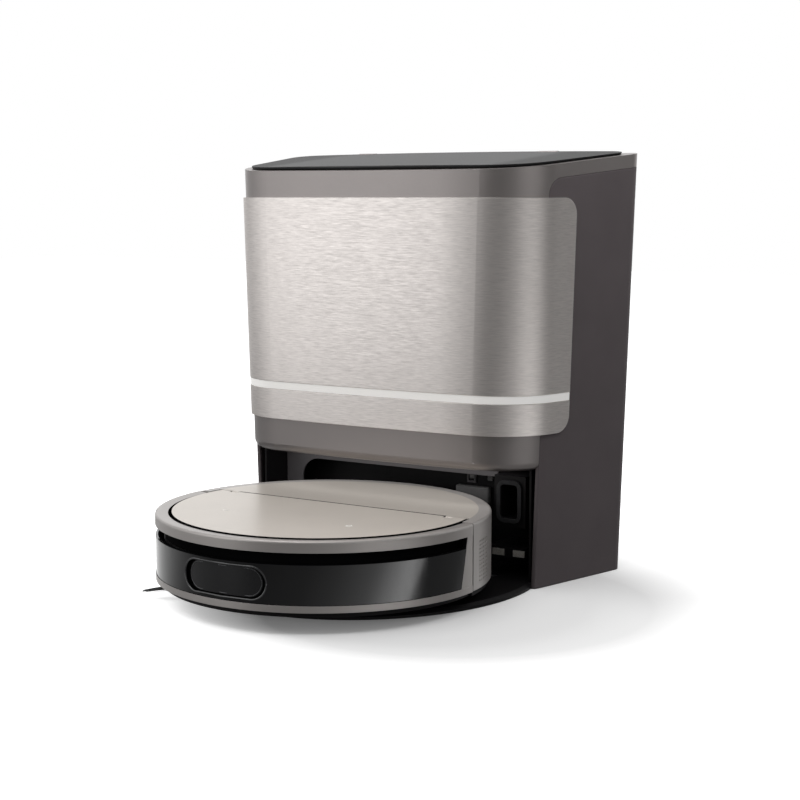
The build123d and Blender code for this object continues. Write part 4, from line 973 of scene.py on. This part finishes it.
def whiteFloor():
    clearSelection()
    bpy.ops.mesh.primitive_plane_add(size=studio["floorSize"], location=(0, 0, -studio["floorDrop"]))
    floor = bpy.context.object
    floor.name = "studio_floor"
    mat, tree, shader = newFinish("studio_paper")
    shader.inputs["Base Color"].default_value = (*studio["floorColour"], 1)
    shader.inputs["Roughness"].default_value = 1.0
    shader.inputs["Specular IOR Level"].default_value = 0.0
    shader.inputs["Emission Color"].default_value = (1, 1, 1, 1)
    light = tree.nodes.new("ShaderNodeLightPath")
    coords = tree.nodes.new("ShaderNodeTexCoord")
    reach = addNode(tree, "ShaderNodeVectorMath", operation="DISTANCE")
    tree.links.new(coords.outputs["Object"], reach.inputs[0])
    reach.inputs[1].default_value = studio["fadeCentre"]
    fade = spread(tree, reach.outputs["Value"], studio["floorLift"], 1.0, studio["fadeFrom"],
                  studio["fadeTo"])
    lift = calc(tree, "MULTIPLY", light.outputs["Is Camera Ray"], fade)
    tree.links.new(lift, shader.inputs["Emission Strength"])
    below = tree.nodes.new("ShaderNodeNewGeometry")
    through = tree.nodes.new("ShaderNodeBsdfTransparent")
    mixer = tree.nodes.new("ShaderNodeMixShader")
    tree.links.new(below.outputs["Backfacing"], mixer.inputs[0])
    tree.links.new(shader.outputs[0], mixer.inputs[1])
    tree.links.new(through.outputs[0], mixer.inputs[2])
    tree.links.new(mixer.outputs[0], tree.nodes["Material Output"].inputs["Surface"])
    dress(floor, mat)
    floor.visible_glossy = False
    floor.visible_diffuse = False


def roundStudio(tree, angle, levels):
    ramp = tree.nodes.new("ShaderNodeValToRGB")
    band = ramp.color_ramp
    while len(band.elements) < len(levels):
        band.elements.new(0.5)
    for element, (degrees, level) in zip(band.elements, levels):
        element.position = (degrees + 180) / 360
        element.color = (level, level, level, 1)
    tree.links.new(spread(tree, angle, 0, 1, -math.pi, math.pi), ramp.inputs[0])
    return ramp.outputs[0]


def studioWorld():
    world = bpy.data.worlds.new("studio_world")
    bpy.context.scene.world = world
    world.use_nodes = True
    tree = world.node_tree
    back = tree.nodes["Background"]
    light = tree.nodes.new("ShaderNodeLightPath")
    coords = tree.nodes.new("ShaderNodeTexCoord")
    part = tree.nodes.new("ShaderNodeSeparateXYZ")
    tree.links.new(coords.outputs["Generated"], part.inputs[0])
    x, y, z = part.outputs
    angle = calc(tree, "ARCTAN2", x, calc(tree, "MULTIPLY", y, -1))
    level = calc(tree, "MULTIPLY", roundStudio(tree, angle, surround), studio["peak"])
    dim = spread(tree, z, studio["dimShare"], 1.0, studio["dimSine"], studio["fullSine"])
    level = calc(tree, "MULTIPLY", level, dim)
    slant = calc(tree, "MULTIPLY", calc(tree, "ADD", z, studio["tiltFrom"]), studio["lowTilt"])
    low = roundStudio(tree, calc(tree, "ADD", angle, slant), lowSurround)
    lit = spread(tree, z, studio["lowDark"], studio["lowPeak"], studio["darkSine"], studio["litSine"])
    paper = spread(tree, z, studio["floorMirror"], 0, studio["floorSine"], studio["floorEnd"])
    low = calc(tree, "ADD", calc(tree, "MULTIPLY", low, lit), paper)
    under = calc(tree, "LESS_THAN", z, studio["lowSine"])
    mirrored = calc(tree, "ADD", calc(tree, "MULTIPLY", low, under),
                    calc(tree, "MULTIPLY", level, calc(tree, "SUBTRACT", 1, under)))
    glossy = light.outputs["Is Glossy Ray"]
    plain = calc(tree, "MAXIMUM", light.outputs["Is Camera Ray"], light.outputs["Is Transmission Ray"])
    ambient = spread(tree, z, studio["ambientLow"], studio["ambientHigh"],
                     -studio["ambientSpan"], studio["ambientSpan"])
    plain = calc(tree, "MAXIMUM", plain, ambient)
    total = calc(tree, "ADD", calc(tree, "MULTIPLY", mirrored, glossy),
                 calc(tree, "MULTIPLY", plain, calc(tree, "SUBTRACT", 1, glossy)))
    tree.links.new(total, back.inputs["Strength"])
    back.inputs["Color"].default_value = (1, 1, 1, 1)


def studioLamps():
    for lamp in lamps:
        data = bpy.data.lights.new(lamp["name"], "AREA")
        data.shape = "RECTANGLE"
        data.size, data.size_y = lamp["size"]
        data.energy = lamp["power"]
        obj = bpy.data.objects.new(lamp["name"], data)
        bpy.context.scene.collection.objects.link(obj)
        obj.visible_glossy = lamp["mirrored"]
        obj.visible_camera = False
        obj.location = lamp["place"]
        obj.rotation_euler = (Vector(lamp["aim"]) - obj.location).to_track_quat("-Z", "Y").to_euler()


def photoView():
    data = bpy.data.cameras.new("photo_camera")
    data.lens = photoCamera["lens"]
    data.sensor_width = photoCamera["sensor"]
    cam = bpy.data.objects.new("photo_camera", data)
    bpy.context.scene.collection.objects.link(cam)
    cam.location = photoCamera["place"]
    cam.rotation_euler = [math.radians(angle) for angle in photoCamera["turn"]]
    bpy.context.scene.camera = cam


whiteFloor()
studioWorld()
studioLamps()
photoView()
bpy.context.scene.view_settings.view_transform = "Standard"
print("stage done")
